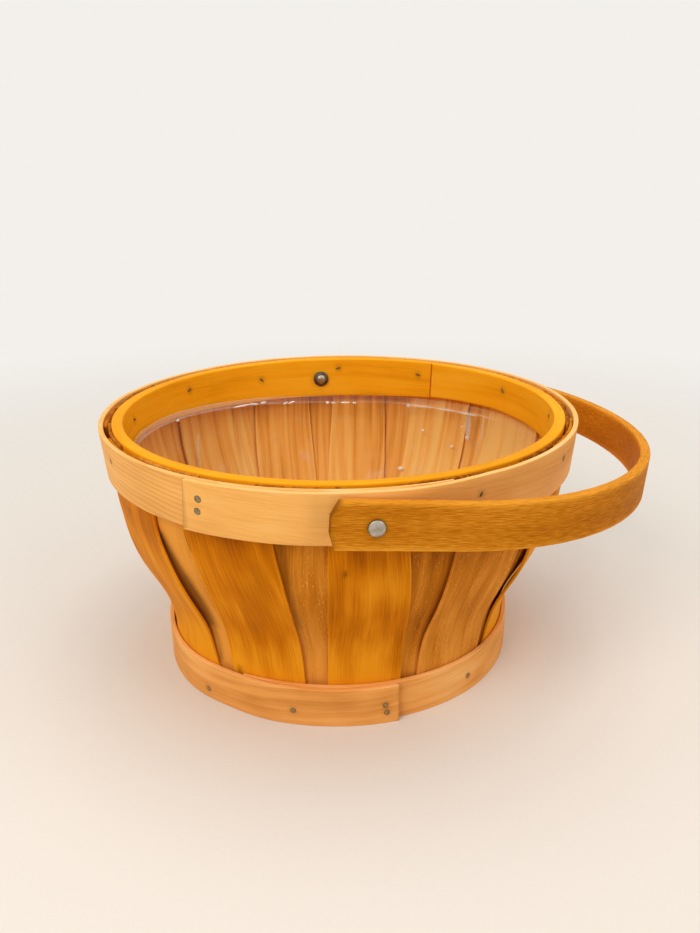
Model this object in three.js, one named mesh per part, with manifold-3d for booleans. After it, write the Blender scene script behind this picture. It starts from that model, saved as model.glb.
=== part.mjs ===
// A round splint basket with a swing handle and a clear loose liner.
// Thin wooden staves stand in two layers, one covering the gaps of the other. They are held
// between an outer and an inner rim hoop at the top, and between a base hoop and a round
// board at the bottom. A bentwood handle turns on two rivets through the rim.
// Millimetres, +Z up, origin at the centre of the underside. The handle lies towards +X,
// and its rivets are on the Y axis. Angles are in degrees from -Y, turning towards +X.
import * as THREE from 'three';
import { mergeVertices } from 'three/addons/utils/BufferGeometryUtils.js';
import Module from 'manifold-3d';

const wasm = await Module();
wasm.setup();

// Main sizes
const RIM_RADIUS = 105; // outside of the outer hoop at its top edge
const RIM_HEIGHT = 110.5;
const RIM_LEAN = 1.7; // how much the rim narrows down to the outer hoop's lower edge
const BASE_RADIUS = 82; // outside of the base hoop
const FIT = 0.3; // left between pieces that lie on each other

// Hoops: strips bent round, with overlapping ends
const STRIP_THICKNESS = 2;
const STRIP_BEVEL = 0.4;
const LAP_EASE = 22; // over which the outer end comes down to one layer
const OUTER_HOOP_DEPTH = 20;
const OUTER_LAP_END = -38; // where its visible end is
const OUTER_LAP = 54; // how far its ends overlap
const BASE_HOOP_DEPTH = 17;
const BASE_LAP_END = 9.5;
const BASE_LAP = 52;
const INNER_HOOP_THICKNESS = 4.8;
const INNER_HOOP_DEPTH = 20;
const INNER_HOOP_BEVEL = 0.7;
const SCARF_END = 141.5; // where the inner hoop's visible end is
const SCARF = 32; // its tapered ends lie on each other over this angle
const SCARF_TIP = 1; // thickness left at the end of a taper
const HOOP_STEP = 5; // between two sections of a hoop

// Staves
const STAVE_COUNT = 12; // in each layer
const STAVE_THICKNESS = 1.2;
const STAVE_WIDTH = 34;
const STAVE_SPREAD = 4.4; // every third stave is this much narrower, the others a little wider
const STAVE_END = 1.2; // the ends stay this far inside the hoops' edges
const FOOT_RISE = 28; // the wall leaves the base hoop straight up, over about this height
const SHOULDER_DROP = 44; // and comes back to the rim's slope over about this height
const EDGE_LIFT = 1.1; // the flat wood lifts its edges off the round at mid height
const STAVE_DIP = 0.6; // and the inner staves sink in between their edges

// Base board
const BOARD_THICKNESS = 10;
const BOARD_BEVEL = 0.8;

// Handle: a bent strip
const HANDLE_WIDTH = 17.4;
const HANDLE_THICKNESS = 4;
const HANDLE_BEVEL = 0.5;
const HANDLE_CORNER = 3.5; // radius of its ends, seen from the side
const HANDLE_STUB = 15.5; // from the pivot to its end
const HANDLE_STRAIGHT = 30; // from the pivot to where the bow starts
const FINGER_GAP = 27; // from the rim to the bow where they are furthest apart
const HANDLE_DROOP = 4.3; // at rest
const PIVOT_DROP = 11; // from the rim's top edge down to the pivot

// Rivets and the washers that they are closed on
const SHANK_RADIUS = 1.6;
const HEAD_RADIUS = 3.1;
const HEAD_HEIGHT = 1.3;
const HEAD_EDGE = 0.35;
const WASHER_RADIUS = 4.15;
const WASHER_THICKNESS = 0.7;
const WASHER_DISH = 0.4;
const PEEN_RADIUS = 2.4;
const PEEN_HEIGHT = 0.9;

// Liner
const LINER_WALL = 0.8;
const LINER_GAP = 0.6; // from the staves, and from the hoop and rivets that it is lifted past
const LINER_TOP_DROP = 16.5; // from the rim's top edge down to the liner's
const LINER_CORNER = 6;
const LINER_NARROW = 12; // to each side of the rivets, where the liner is drawn in for them
const LINER_ROUND = 45; // from here on it is round

const wood = (color, roughness) => new THREE.MeshStandardMaterial({ color, roughness, metalness: 0 });
const metal = (color, roughness) => new THREE.MeshStandardMaterial({ color, roughness, metalness: 1 });
const MATERIALS = {
  outerHoop: wood('#e6ab6b', 0.6),
  baseHoop: wood('#dc9a54', 0.6),
  innerHoop: wood('#eda522', 0.45),
  handle: wood('#e39a20', 0.45),
  outerStave: wood('#cf7f24', 0.62),
  innerStave: wood('#d8924a', 0.62),
  board: wood('#d9a468', 0.7),
  rivet: metal('#b3aba0', 0.35),
  washer: metal('#857c70', 0.45),
  liner: new THREE.MeshStandardMaterial({
    color: '#eef2f4', roughness: 0.08, metalness: 0, transparent: true, opacity: 0.3,
  }),
};

// What follows from the sizes

const rimSlope = RIM_LEAN / OUTER_HOOP_DEPTH;
const hoopLow = RIM_HEIGHT - OUTER_HOOP_DEPTH;
const innerHoopLow = RIM_HEIGHT - INNER_HOOP_DEPTH;
const wallAtRim = RIM_RADIUS - STRIP_THICKNESS - FIT; // outside of the outer staves
const wallAtBase = BASE_RADIUS - STRIP_THICKNESS - FIT;
const layer = STAVE_THICKNESS + FIT;
const innerHoopOutside = wallAtRim - 2 * layer;
const innerHoopInside = innerHoopOutside - INNER_HOOP_THICKNESS;
const boardRadius = wallAtBase - 2 * layer;
const lapRise = STRIP_THICKNESS + FIT;
const frontSeat = RIM_RADIUS + lapRise + FIT; // the front rivet goes through the lap
const backSeat = RIM_RADIUS + FIT;
const pivotHeight = RIM_HEIGHT - PIVOT_DROP;

// A radius given at the rim's top edge, followed down along the rim's slope.
function leaning(radius, z) {
  return radius - rimSlope * (RIM_HEIGHT - z);
}

// Geometry helpers

// The point at a radius, an angle and a height.
function at(radius, angle, z) {
  const turn = THREE.MathUtils.degToRad(angle);
  return new THREE.Vector3(radius * Math.sin(turn), -radius * Math.cos(turn), z);
}

// Six times the volume inside a closed mesh, negative if its faces point in.
function signedVolume(points, faces) {
  let sum = 0;
  for (let i = 0; i < faces.length; i += 3) {
    const across = points[faces[i + 1]].clone().cross(points[faces[i + 2]]);
    sum += points[faces[i]].dot(across);
  }
  return sum;
}

// A closed body through a row of sections. Each section is a loop of the same even number of
// points, and the second half of a loop goes back beside the first.
function loft(sections) {
  const size = sections[0].length;
  const points = sections.flat();
  const faces = [];
  const quad = (a, b, c, d) => faces.push(a, b, c, a, c, d);
  for (let row = 0; row < sections.length - 1; row += 1) {
    const here = row * size;
    for (let i = 0; i < size; i += 1) {
      const next = (i + 1) % size;
      quad(here + i, here + next, here + size + next, here + size + i);
    }
  }
  const last = (sections.length - 1) * size;
  for (let i = 0; i < size / 2 - 1; i += 1) {
    const back = size - 1 - i;
    quad(i, back, back - 1, i + 1);
    quad(last + i, last + i + 1, last + back - 1, last + back);
  }
  if (signedVolume(points, faces) < 0) {
    faces.reverse();
  }
  const geometry = new THREE.BufferGeometry().setFromPoints(points);
  geometry.setIndex(faces);
  return geometry;
}

// Joins the vertices of a geometry that lie on each other, and drops faces without an area.
function welded(geometry) {
  const bare = geometry.clone();
  bare.deleteAttribute('normal');
  bare.deleteAttribute('uv');
  const merged = mergeVertices(bare, 1e-4);
  const faces = [];
  for (let i = 0; i < merged.index.count; i += 3) {
    const [a, b, c] = merged.index.array.slice(i, i + 3);
    if (a !== b && b !== c && c !== a) {
      faces.push(a, b, c);
    }
  }
  merged.setIndex(faces);
  return merged;
}

// A body of revolution about Z. Its profile starts and ends on the axis, or closes on itself.
function turned(profile, segments) {
  const geometry = new THREE.LatheGeometry(profile, segments);
  geometry.rotateX(Math.PI / 2);
  return welded(geometry);
}

function toSolid(geometry) {
  const closed = welded(geometry);
  return new wasm.Manifold(new wasm.Mesh({
    numProp: 3,
    vertProperties: new Float32Array(closed.attributes.position.array),
    triVerts: new Uint32Array(closed.index.array),
  }));
}

function fromSolid(solid) {
  const mesh = solid.getMesh();
  const geometry = new THREE.BufferGeometry();
  geometry.setAttribute('position', new THREE.BufferAttribute(mesh.vertProperties, 3));
  geometry.setIndex(new THREE.BufferAttribute(mesh.triVerts, 1));
  return geometry;
}

// A solid with the rivet holes: a bar along Y is taken out of it, at this height. Sides says
// which way the bar runs from the axis: -1 to the front, 1 to the back.
function pierced(solid, height, sides = [-1, 1]) {
  const length = 2 * RIM_RADIUS;
  let rest = solid;
  for (const side of sides) {
    const bar = new THREE.CylinderGeometry(SHANK_RADIUS + FIT, SHANK_RADIUS + FIT, length, 16);
    bar.translate(0, side * length / 2, height);
    rest = rest.subtract(toSolid(bar));
  }
  return fromSolid(rest);
}

// Half a section of a dome on the Z axis, from its top down to its edge.
function dome(radius, low, high) {
  const steps = 4;
  const points = [];
  for (let i = 0; i <= steps; i += 1) {
    const rise = (Math.PI / 2) * (1 - i / steps);
    points.push(new THREE.Vector2(
      radius * Math.cos(rise), low + (high - low) * Math.sin(rise)));
  }
  points[0].x = 0;
  return points;
}

const basket = new THREE.Group();

function add(name, geometry, material, parent = basket) {
  geometry.computeVertexNormals();
  const mesh = new THREE.Mesh(geometry, material);
  mesh.name = name;
  parent.add(mesh);
  return mesh;
}

// Hoops

// The section of a hoop at one angle, with bevelled corners. A lean follows the rim's slope.
function hoopSection(angle, inside, outside, low, high, bevel, lean) {
  const corner = (radius, z) => at(lean ? leaning(radius, z) : radius, angle, z);
  const b = Math.min(bevel, 0.35 * (outside - inside));
  return [
    corner(outside - b, low), corner(outside, low + b),
    corner(outside, high - b), corner(outside - b, high),
    corner(inside + b, high), corner(inside, high - b),
    corner(inside, low + b), corner(inside + b, low),
  ];
}

// A strip bent round once and on under its own start. Its visible end lies outside, and turn
// is 1 or -1 for the way that it goes round from there.
function lappedHoop({ end, turn, lap, outside, low, high, lean }) {
  const sections = [];
  const steps = Math.ceil((360 + lap) / HOOP_STEP);
  for (let i = 0; i <= steps; i += 1) {
    const along = (i / steps) * (360 + lap);
    const eased = THREE.MathUtils.smoothstep(along, lap + 1, lap + 1 + LAP_EASE);
    const radius = outside + lapRise * (1 - eased);
    const angle = end + turn * along;
    sections.push(hoopSection(
      angle, radius - STRIP_THICKNESS, radius, low, high, STRIP_BEVEL, lean));
  }
  return loft(sections);
}

// A thicker strip whose two tapered ends lie on each other, so that the hoop stays even.
function scarfedHoop() {
  const taper = INNER_HOOP_THICKNESS - 2 * SCARF_TIP - FIT;
  const stepAngle = 0.6; // over which the taper's blunt end steps up to the full strip
  const angles = [0, SCARF, SCARF + stepAngle, 360 - 2 * stepAngle, 360 - stepAngle, 360 + SCARF];
  for (let along = HOOP_STEP; along < 360 + SCARF - 1; along += HOOP_STEP) {
    if (angles.every((other) => Math.abs(other - along) > 1)) {
      angles.push(along);
    }
  }
  angles.sort((a, b) => a - b);
  const sections = angles.map((along) => {
    let inside = innerHoopInside;
    let outside = innerHoopOutside;
    if (along <= SCARF) {
      outside = inside + SCARF_TIP + taper * (along / SCARF);
    }
    if (along >= 360 - stepAngle) {
      inside += SCARF_TIP + FIT + taper * Math.max(0, (along - 360) / SCARF);
    }
    return hoopSection(
      SCARF_END + along, inside, outside, innerHoopLow, RIM_HEIGHT, INNER_HOOP_BEVEL, true);
  });
  return loft(sections);
}

const outerHoop = lappedHoop({
  end: OUTER_LAP_END, turn: 1, lap: OUTER_LAP,
  outside: RIM_RADIUS, low: hoopLow, high: RIM_HEIGHT, lean: true,
});
const baseHoop = lappedHoop({
  end: BASE_LAP_END, turn: -1, lap: BASE_LAP,
  outside: BASE_RADIUS, low: 0, high: BASE_HOOP_DEPTH, lean: false,
});
add('outer_hoop', pierced(toSolid(outerHoop), pivotHeight), MATERIALS.outerHoop);
add('inner_hoop', pierced(toSolid(scarfedHoop()), pivotHeight), MATERIALS.innerHoop);
add('base_hoop', baseHoop, MATERIALS.baseHoop);

// Staves

// The outside of the wall in rows from bottom to top: radius and height, the way out from the
// wall, and how free the wood is to lie flat, from 0 under the hoops to 1 between them.
function wallRows() {
  const foot = new THREE.Vector2(wallAtBase, BASE_HOOP_DEPTH);
  const shoulder = new THREE.Vector2(leaning(wallAtRim, hoopLow), hoopLow);
  const bottom = new THREE.Vector2(wallAtBase, STAVE_END);
  const topHeight = RIM_HEIGHT - STAVE_END;
  const top = new THREE.Vector2(leaning(wallAtRim, topHeight), topHeight);
  const swell = new THREE.CubicBezierCurve(
    foot,
    new THREE.Vector2(wallAtBase, BASE_HOOP_DEPTH + FOOT_RISE),
    new THREE.Vector2(leaning(wallAtRim, hoopLow - SHOULDER_DROP), hoopLow - SHOULDER_DROP),
    shoulder,
  );
  const row = (point, way, free) => ({
    radius: point.x, z: point.y, out: new THREE.Vector2(way.y, -way.x), free,
  });
  const steps = 9;
  const rows = [row(bottom, new THREE.Vector2(0, 1), 0)];
  for (let i = 0; i <= steps; i += 1) {
    const t = i / steps;
    rows.push(row(swell.getPoint(t), swell.getTangent(t), Math.sin(Math.PI * t) ** 2));
  }
  rows.push(row(top, top.clone().sub(shoulder).normalize(), 0));
  return rows;
}

const ROWS = wallRows();

// One stave: a sheet of even thickness that lies this deep under the outside of the wall. Rise
// says how far a point moves off the wall, from where it is across the sheet, -1 to 1.
function stave(centre, width, depth, rise) {
  const across = [-1, -0.5, 0, 0.5, 1];
  const sections = ROWS.map(({ radius, z, out, free }) => {
    const point = (side, down) => {
      const off = free * rise(side) - down;
      const angle = centre + THREE.MathUtils.radToDeg((side * width) / 2 / radius);
      return at(radius + out.x * off, angle, z + out.y * off);
    };
    return [
      ...across.map((side) => point(side, depth)),
      ...across.toReversed().map((side) => point(side, depth + STAVE_THICKNESS)),
    ];
  });
  return loft(sections);
}

const pitch = 360 / STAVE_COUNT;
for (let i = 0; i < STAVE_COUNT; i += 1) {
  const narrower = Math.cos(THREE.MathUtils.degToRad(120 * i));
  const width = STAVE_WIDTH - STAVE_SPREAD * narrower;
  const outer = stave(i * pitch, width, 0, (side) => EDGE_LIFT * side ** 2);
  const onPivot = { 0: [-1], [STAVE_COUNT / 2]: [1] }[i];
  add(
    `outer_stave_${i + 1}`,
    onPivot ? pierced(toSolid(outer), pivotHeight, onPivot) : outer,
    MATERIALS.outerStave,
  );
  const inner = stave(
    (i + 0.5) * pitch, STAVE_WIDTH, layer, (side) => STAVE_DIP * (side ** 2 - 1));
  add(`inner_stave_${i + 1}`, inner, MATERIALS.innerStave);
}

// Base board

const board = turned([
  new THREE.Vector2(0, 0),
  new THREE.Vector2(boardRadius - BOARD_BEVEL, 0),
  new THREE.Vector2(boardRadius, BOARD_BEVEL),
  new THREE.Vector2(boardRadius, BOARD_THICKNESS - BOARD_BEVEL),
  new THREE.Vector2(boardRadius - BOARD_BEVEL, BOARD_THICKNESS),
  new THREE.Vector2(0, BOARD_THICKNESS),
], 60);
add('base_board', board, MATERIALS.board);

// Handle

// The bow lies flat round the pivot axis, with its holes on the axis. It is the outline seen
// from above, cut to the outline seen from the side.
function handle() {
  const middle = (backSeat - frontSeat) / 2;
  const half = (backSeat + frontSeat) / 2;
  const reach = RIM_RADIUS + FINGER_GAP - HANDLE_STRAIGHT;
  const quarter = Math.PI / 2;
  const bow = new THREE.Shape();
  bow.moveTo(-HANDLE_STUB, middle - half - HANDLE_THICKNESS);
  bow.absellipse(
    HANDLE_STRAIGHT, middle, reach + HANDLE_THICKNESS, half + HANDLE_THICKNESS,
    -quarter, quarter, false);
  bow.lineTo(-HANDLE_STUB, middle + half + HANDLE_THICKNESS);
  bow.lineTo(-HANDLE_STUB, middle + half);
  bow.absellipse(HANDLE_STRAIGHT, middle, reach, half, quarter, -quarter, true);
  bow.lineTo(-HANDLE_STUB, middle - half);
  bow.closePath();
  const strip = new THREE.ExtrudeGeometry(bow, {
    depth: HANDLE_WIDTH - 2 * HANDLE_BEVEL,
    bevelThickness: HANDLE_BEVEL,
    bevelSize: HANDLE_BEVEL,
    bevelOffset: -HANDLE_BEVEL,
    bevelSegments: 2,
    curveSegments: 20,
  });
  strip.translate(0, 0, HANDLE_BEVEL - HANDLE_WIDTH / 2);

  const far = RIM_RADIUS + FINGER_GAP + 2 * HANDLE_THICKNESS;
  const edge = HANDLE_WIDTH / 2;
  const inset = edge - HANDLE_CORNER;
  const side = new THREE.Shape();
  side.moveTo(far, -2 * edge);
  side.lineTo(far, 2 * edge);
  side.lineTo(0, 2 * edge);
  side.lineTo(0, edge);
  side.absarc(HANDLE_CORNER - HANDLE_STUB, inset, HANDLE_CORNER, quarter, 2 * quarter, false);
  side.absarc(HANDLE_CORNER - HANDLE_STUB, -inset, HANDLE_CORNER, -2 * quarter, -quarter, false);
  side.lineTo(0, -edge);
  side.lineTo(0, -2 * edge);
  side.closePath();
  const depth = 4 * half;
  const cut = new THREE.ExtrudeGeometry(side, { depth, bevelEnabled: false, curveSegments: 5 });
  cut.translate(0, 0, -depth / 2);
  cut.rotateX(quarter);
  return pierced(toSolid(strip).intersect(toSolid(cut)), 0);
}

const handleGroup = new THREE.Group();
handleGroup.position.z = pivotHeight;
handleGroup.rotation.y = THREE.MathUtils.degToRad(HANDLE_DROOP);
basket.add(handleGroup);
add('handle', handle(), MATERIALS.handle, handleGroup);

// Rivets and washers

// The washer lies on the inner hoop, which is hollow there and leans, so its edge sets where.
const washerRadiusThere = leaning(innerHoopInside, pivotHeight - WASHER_RADIUS);
const washerSeat = Math.sqrt(washerRadiusThere ** 2 - WASHER_RADIUS ** 2) - FIT;
const washerFace = washerSeat - WASHER_THICKNESS - WASHER_DISH;
const peenEdge = washerFace - FIT;
const rivetTip = peenEdge - PEEN_HEIGHT; // the narrowest way that the liner is lifted through

// A piece turned about Z, with its top pointing away from the basket at the front or back.
function onPivotAxis(profile, segments, side) {
  const geometry = turned(profile, segments);
  geometry.rotateX(-side * Math.PI / 2);
  geometry.translate(0, 0, pivotHeight);
  return geometry;
}

function addRivet(place, side, seat) {
  const underHead = seat + HANDLE_THICKNESS + FIT;
  const head = dome(HEAD_RADIUS, underHead + HEAD_EDGE, underHead + HEAD_HEIGHT);
  const peen = dome(PEEN_RADIUS, peenEdge, rivetTip);
  const rivet = [
    ...peen,
    new THREE.Vector2(SHANK_RADIUS, peenEdge),
    new THREE.Vector2(SHANK_RADIUS, underHead),
    new THREE.Vector2(HEAD_RADIUS, underHead),
    ...head.toReversed(),
  ];
  const hole = SHANK_RADIUS + FIT;
  const washer = [
    new THREE.Vector2(hole, washerFace),
    new THREE.Vector2(WASHER_RADIUS, washerSeat - WASHER_THICKNESS),
    new THREE.Vector2(WASHER_RADIUS, washerSeat),
    new THREE.Vector2(hole, washerSeat - WASHER_DISH),
    new THREE.Vector2(hole, washerFace),
  ];
  add(`${place}_rivet`, onPivotAxis(rivet, 20, side), MATERIALS.rivet);
  add(`${place}_washer`, onPivotAxis(washer, 20, side), MATERIALS.washer);
}

addRivet('front', -1, frontSeat);
addRivet('back', 1, backSeat);

// Liner

// A body of the liner's outline, this far inside it and up to this height. It follows the
// staves until it just fits through the inner hoop, and goes straight up from there.
function linerBody(inset, top) {
  const floor = BOARD_THICKNESS + FIT;
  const widest = leaning(innerHoopInside, innerHoopLow) - LINER_GAP;
  const narrow = rivetTip - LINER_GAP - inset;
  const behind = 2 * layer - FIT + STAVE_DIP + LINER_GAP;
  const foot = wallAtBase - behind;
  const points = [new THREE.Vector2(0, floor + inset)];
  const steps = 3;
  for (let i = 0; i <= steps; i += 1) {
    const rise = (Math.PI / 2) * (i / steps);
    points.push(new THREE.Vector2(
      foot - LINER_CORNER + (LINER_CORNER - inset) * Math.sin(rise),
      floor + LINER_CORNER - (LINER_CORNER - inset) * Math.cos(rise)));
  }
  for (const { radius, z, out } of ROWS.filter((_, i) => i % 2 === 0)) {
    const height = z - out.y * behind;
    if (height > floor + LINER_CORNER + 1 && height < top - LINER_CORNER) {
      points.push(new THREE.Vector2(Math.min(radius - out.x * behind, widest) - inset, height));
    }
  }
  points.push(new THREE.Vector2(widest - inset, top), new THREE.Vector2(0, top));
  const body = turned(points, 48);
  const position = body.attributes.position;
  for (let i = 0; i < position.count; i += 1) {
    const x = position.getX(i);
    const y = position.getY(i);
    const radius = Math.max(Math.hypot(x, y), 1);
    const share = 1 - THREE.MathUtils.smoothstep(Math.abs(x), LINER_NARROW, LINER_ROUND);
    const scale = 1 - share * Math.max(0, radius - narrow) / radius;
    position.setXY(i, x * scale, y * scale);
  }
  return toSolid(body);
}

const linerTop = RIM_HEIGHT - LINER_TOP_DROP;
const liner = linerBody(0, linerTop).subtract(linerBody(LINER_WALL, linerTop + 1));
add('liner', fromSolid(liner), MATERIALS.liner);

export default basket;
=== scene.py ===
# %% [markdown]
# # A lined splint basket
# Thin wooden staves stand in two layers between bent hoops, a bentwood handle swings on two
# rivets, and a loose clear cup lines the inside. The fixed frame is loaded first: every piece
# made here goes where its CAD node is, in metres, with +Z up and the handle lying towards +X.

# %% Load the fixed frame
import math
import random
from contextlib import contextmanager

import bmesh
import bpy
import numpy as np
from mathutils import Matrix, Vector
from mathutils.geometry import interpolate_bezier


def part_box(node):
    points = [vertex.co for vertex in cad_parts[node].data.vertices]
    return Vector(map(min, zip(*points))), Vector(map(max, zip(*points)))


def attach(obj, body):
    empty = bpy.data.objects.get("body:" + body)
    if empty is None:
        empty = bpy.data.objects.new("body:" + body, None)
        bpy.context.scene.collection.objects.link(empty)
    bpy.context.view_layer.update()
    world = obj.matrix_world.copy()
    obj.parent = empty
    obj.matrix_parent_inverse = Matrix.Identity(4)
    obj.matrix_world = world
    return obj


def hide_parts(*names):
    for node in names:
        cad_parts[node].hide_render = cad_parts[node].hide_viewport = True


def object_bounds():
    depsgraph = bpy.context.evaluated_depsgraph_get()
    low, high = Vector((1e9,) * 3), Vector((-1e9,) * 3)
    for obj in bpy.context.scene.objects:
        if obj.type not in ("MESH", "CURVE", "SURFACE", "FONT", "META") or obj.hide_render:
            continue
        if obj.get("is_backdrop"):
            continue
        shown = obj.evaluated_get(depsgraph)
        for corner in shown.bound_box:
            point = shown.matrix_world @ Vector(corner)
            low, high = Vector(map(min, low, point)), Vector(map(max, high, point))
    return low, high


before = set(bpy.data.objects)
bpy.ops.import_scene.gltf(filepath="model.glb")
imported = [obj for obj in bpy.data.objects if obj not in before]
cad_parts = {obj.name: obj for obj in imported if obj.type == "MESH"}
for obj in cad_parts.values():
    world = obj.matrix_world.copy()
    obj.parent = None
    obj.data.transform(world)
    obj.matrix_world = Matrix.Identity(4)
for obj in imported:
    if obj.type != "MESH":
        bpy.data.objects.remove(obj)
cad_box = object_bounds()
print("CAD box", [round(v, 4) for corner in cad_box for v in corner])

# %% [markdown]
# The main sizes come from the frame itself. Only what a box can't tell is written out, such as
# how thick a strip is. Angles are in degrees from the front rivet, turning towards the handle.

# %% Sizes taken from the frame
MM = 0.001
rim_low, rim_top = (corner.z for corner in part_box("outer_hoop"))
rim_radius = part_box("outer_hoop")[1].x
base_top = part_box("base_hoop")[1].z
base_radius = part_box("base_hoop")[1].x
FIT = 0.3 * MM  # left between pieces that lie on each other
STRIP = 2 * MM
VENEER = 1.2 * MM
RIM_SLOPE = 0.085  # how much the rim narrows for each mm that it goes down
LAP_RISE = STRIP + FIT
wall_rim = rim_radius - STRIP - FIT
wall_base = base_radius - STRIP - FIT
LAYER = VENEER + FIT
print(f"rim {2000 * rim_radius:.0f} mm across, {1000 * rim_top:.1f} mm high, "
      f"foot {2000 * base_radius:.0f} mm across")


def leaning(radius, z):
    """The radius that this one at the rim's top edge has lower down, along the rim's slope."""
    return radius - RIM_SLOPE * (rim_top - z)


def at(radius, angle, z):
    """The point at this radius, angle and height."""
    turn = math.radians(angle)
    return Vector((radius * math.sin(turn), -radius * math.cos(turn), z))


# %% [markdown]
# ## Camera
# The camera was fitted to the circles of the rim and the base in the photograph: it stands
# 0.41 m from the middle of the foot, looks 20 degrees down and has a fairly wide lens. Its
# sensor's width counts along the picture's longer side, which gives the focal length from the
# 800 pixels that were fitted.

# %% Camera
FOCAL_PIXELS, PICTURE_LONG = 800, 933
pitch, yaw, roll = 0.35148, 0.12043, -0.00895
forward = Vector((math.sin(yaw) * math.cos(pitch), math.cos(yaw) * math.cos(pitch),
                  -math.sin(pitch)))
level = Vector((math.cos(yaw), -math.sin(yaw), 0))
upright = level.cross(forward)
right = math.cos(roll) * level + math.sin(roll) * upright
up = math.cos(roll) * upright - math.sin(roll) * level
lens = bpy.data.cameras.new("camera")
lens.sensor_width = 36
lens.lens = FOCAL_PIXELS * lens.sensor_width / PICTURE_LONG
camera = bpy.data.objects.new("camera", lens)
camera.location = (-0.0373, -0.34814, 0.20878)
camera.rotation_euler = Matrix((right, up, -forward)).transposed().to_euler()
bpy.context.scene.collection.objects.link(camera)
bpy.context.scene.camera = camera
bpy.context.scene.view_settings.view_transform = "Standard"
print(f"focal length {lens.lens:.1f} mm")

# %% [markdown]
# ## Colours and nodes
# Colours are written as hex values, as a paint program shows them, and turned into the linear
# values that shaders need. One function adds a shader node with its settings and links.

# %% Colours and nodes


def linear(code):
    """A hex colour as linear red, green, blue and alpha."""
    parts = [int(code[i:i + 2], 16) / 255 for i in (1, 3, 5)]
    return (*[p / 12.92 if p <= 0.04045 else ((p + 0.055) / 1.055) ** 2.4 for p in parts], 1)


def add_node(tree, kind, inputs=(), **settings):
    """Adds a node. Inputs maps a socket to its value or to the socket that feeds it."""
    made = tree.nodes.new(kind)
    for name, value in settings.items():
        setattr(made, name, value)
    for socket, value in dict(inputs).items():
        if isinstance(value, bpy.types.NodeSocket):
            tree.links.new(value, made.inputs[socket])
        else:
            made.inputs[socket].default_value = value
    return made


def new_material(name):
    """An empty material and its node tree."""
    material = bpy.data.materials.new(name)
    material.use_nodes = True
    material.node_tree.nodes.clear()
    return material, material.node_tree


def surface(tree, inputs):
    """Ends a material in one Principled shader."""
    shader = add_node(tree, "ShaderNodeBsdfPrincipled", inputs)
    add_node(tree, "ShaderNodeOutputMaterial", {"Surface": shader.outputs["BSDF"]})


# %% [markdown]
# ## Light and floor
# A big soft lamp on the left, a weaker one on the right, a wide one overhead and a pale sky light
# the basket, at a level where a colour renders about as it is written. What the camera, glossy
# surfaces and the clear cup see behind the floor is a pale colour of its own, which adds no
# light. The floor fades into the same colour further out, so that no horizon shows.

# %% Sky
PALE = "#F3F0EB"
world = bpy.data.worlds.new("pale_room")
bpy.context.scene.world = world
world.use_nodes = True
sky = world.node_tree
sky.nodes.clear()


def looked_at(tree):
    """1 for rays from the camera, and for those that gloss and clear film send on."""
    ray = add_node(tree, "ShaderNodeLightPath").outputs
    seen = add_node(tree, "ShaderNodeMath", {
        0: ray["Is Camera Ray"], 1: ray["Is Glossy Ray"]}, operation="MAXIMUM")
    return add_node(tree, "ShaderNodeMath", {
        0: seen.outputs[0], 1: ray["Is Transmission Ray"]}, operation="MAXIMUM").outputs[0]


light = add_node(sky, "ShaderNodeBackground", {"Color": linear("#FFFAF3"), "Strength": 0.42})
backdrop = add_node(sky, "ShaderNodeBackground", {"Color": linear(PALE), "Strength": 1})
sky_mix = add_node(sky, "ShaderNodeMixShader", {
    0: looked_at(sky), 1: light.outputs[0], 2: backdrop.outputs[0]})
add_node(sky, "ShaderNodeOutputWorld", {"Surface": sky_mix.outputs[0]})


# %% Lamps
def lamp(name, place, size, power, colour):
    """A square soft lamp that points at the basket."""
    light = bpy.data.lights.new(name, "AREA")
    light.size = size
    light.energy = power
    light.color = linear(colour)[:3]
    holder = bpy.data.objects.new(name, light)
    holder.location = place
    holder.rotation_euler = (Vector((0, 0, 0.06)) - Vector(place)).to_track_quat("-Z", "Y").to_euler()
    bpy.context.scene.collection.objects.link(holder)


lamp("window", (-0.8, -0.85, 1.15), 0.8, 11, "#FFF8EF")
lamp("room", (1.1, -0.6, 0.9), 1.2, 5, "#FFFAF5")
lamp("ceiling", (0.1, 0.15, 1.6), 1.2, 10, "#FFFBF7")

# %% Floor
bpy.ops.object.select_all(action="DESELECT")
bpy.ops.mesh.primitive_circle_add(vertices=96, radius=3, fill_type="NGON")
floor = bpy.context.object
floor.name = "floor"
paper, tree = new_material("matt_painted_board")
# Matt paint gives the eye an even pale ground with hardly any gloss.
where = add_node(tree, "ShaderNodeTexCoord").outputs["Object"]
tooth = add_node(tree, "ShaderNodeTexNoise", {"Vector": where, "Scale": 900.0, "Detail": 2.0})
soft = add_node(tree, "ShaderNodeMix", {
    "Factor": tooth.outputs["Fac"], "A": linear("#E6E2DC"), "B": linear("#EAE7E1")},
    data_type="RGBA")
paint = add_node(tree, "ShaderNodeBsdfPrincipled", {
    "Base Color": soft.outputs["Result"], "Roughness": 0.9, "Specular IOR Level": 0.2})
away = add_node(tree, "ShaderNodeVectorMath", {0: where}, operation="LENGTH").outputs["Value"]
far = add_node(tree, "ShaderNodeMapRange", {
    "Value": away, "From Min": 0.22, "From Max": 0.75}, interpolation_type="SMOOTHSTEP")
fade = add_node(tree, "ShaderNodeMath", {
    0: far.outputs["Result"], 1: looked_at(tree)}, operation="MULTIPLY")
pale = add_node(tree, "ShaderNodeEmission", {"Color": linear(PALE), "Strength": 1.0})
ground = add_node(tree, "ShaderNodeMixShader", {
    0: fade.outputs[0], 1: paint.outputs["BSDF"], 2: pale.outputs["Emission"]})
add_node(tree, "ShaderNodeOutputMaterial", {"Surface": ground.outputs["Shader"]})
floor.data.materials.append(paper)
floor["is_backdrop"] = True
print("floor and lamps are in")

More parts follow.
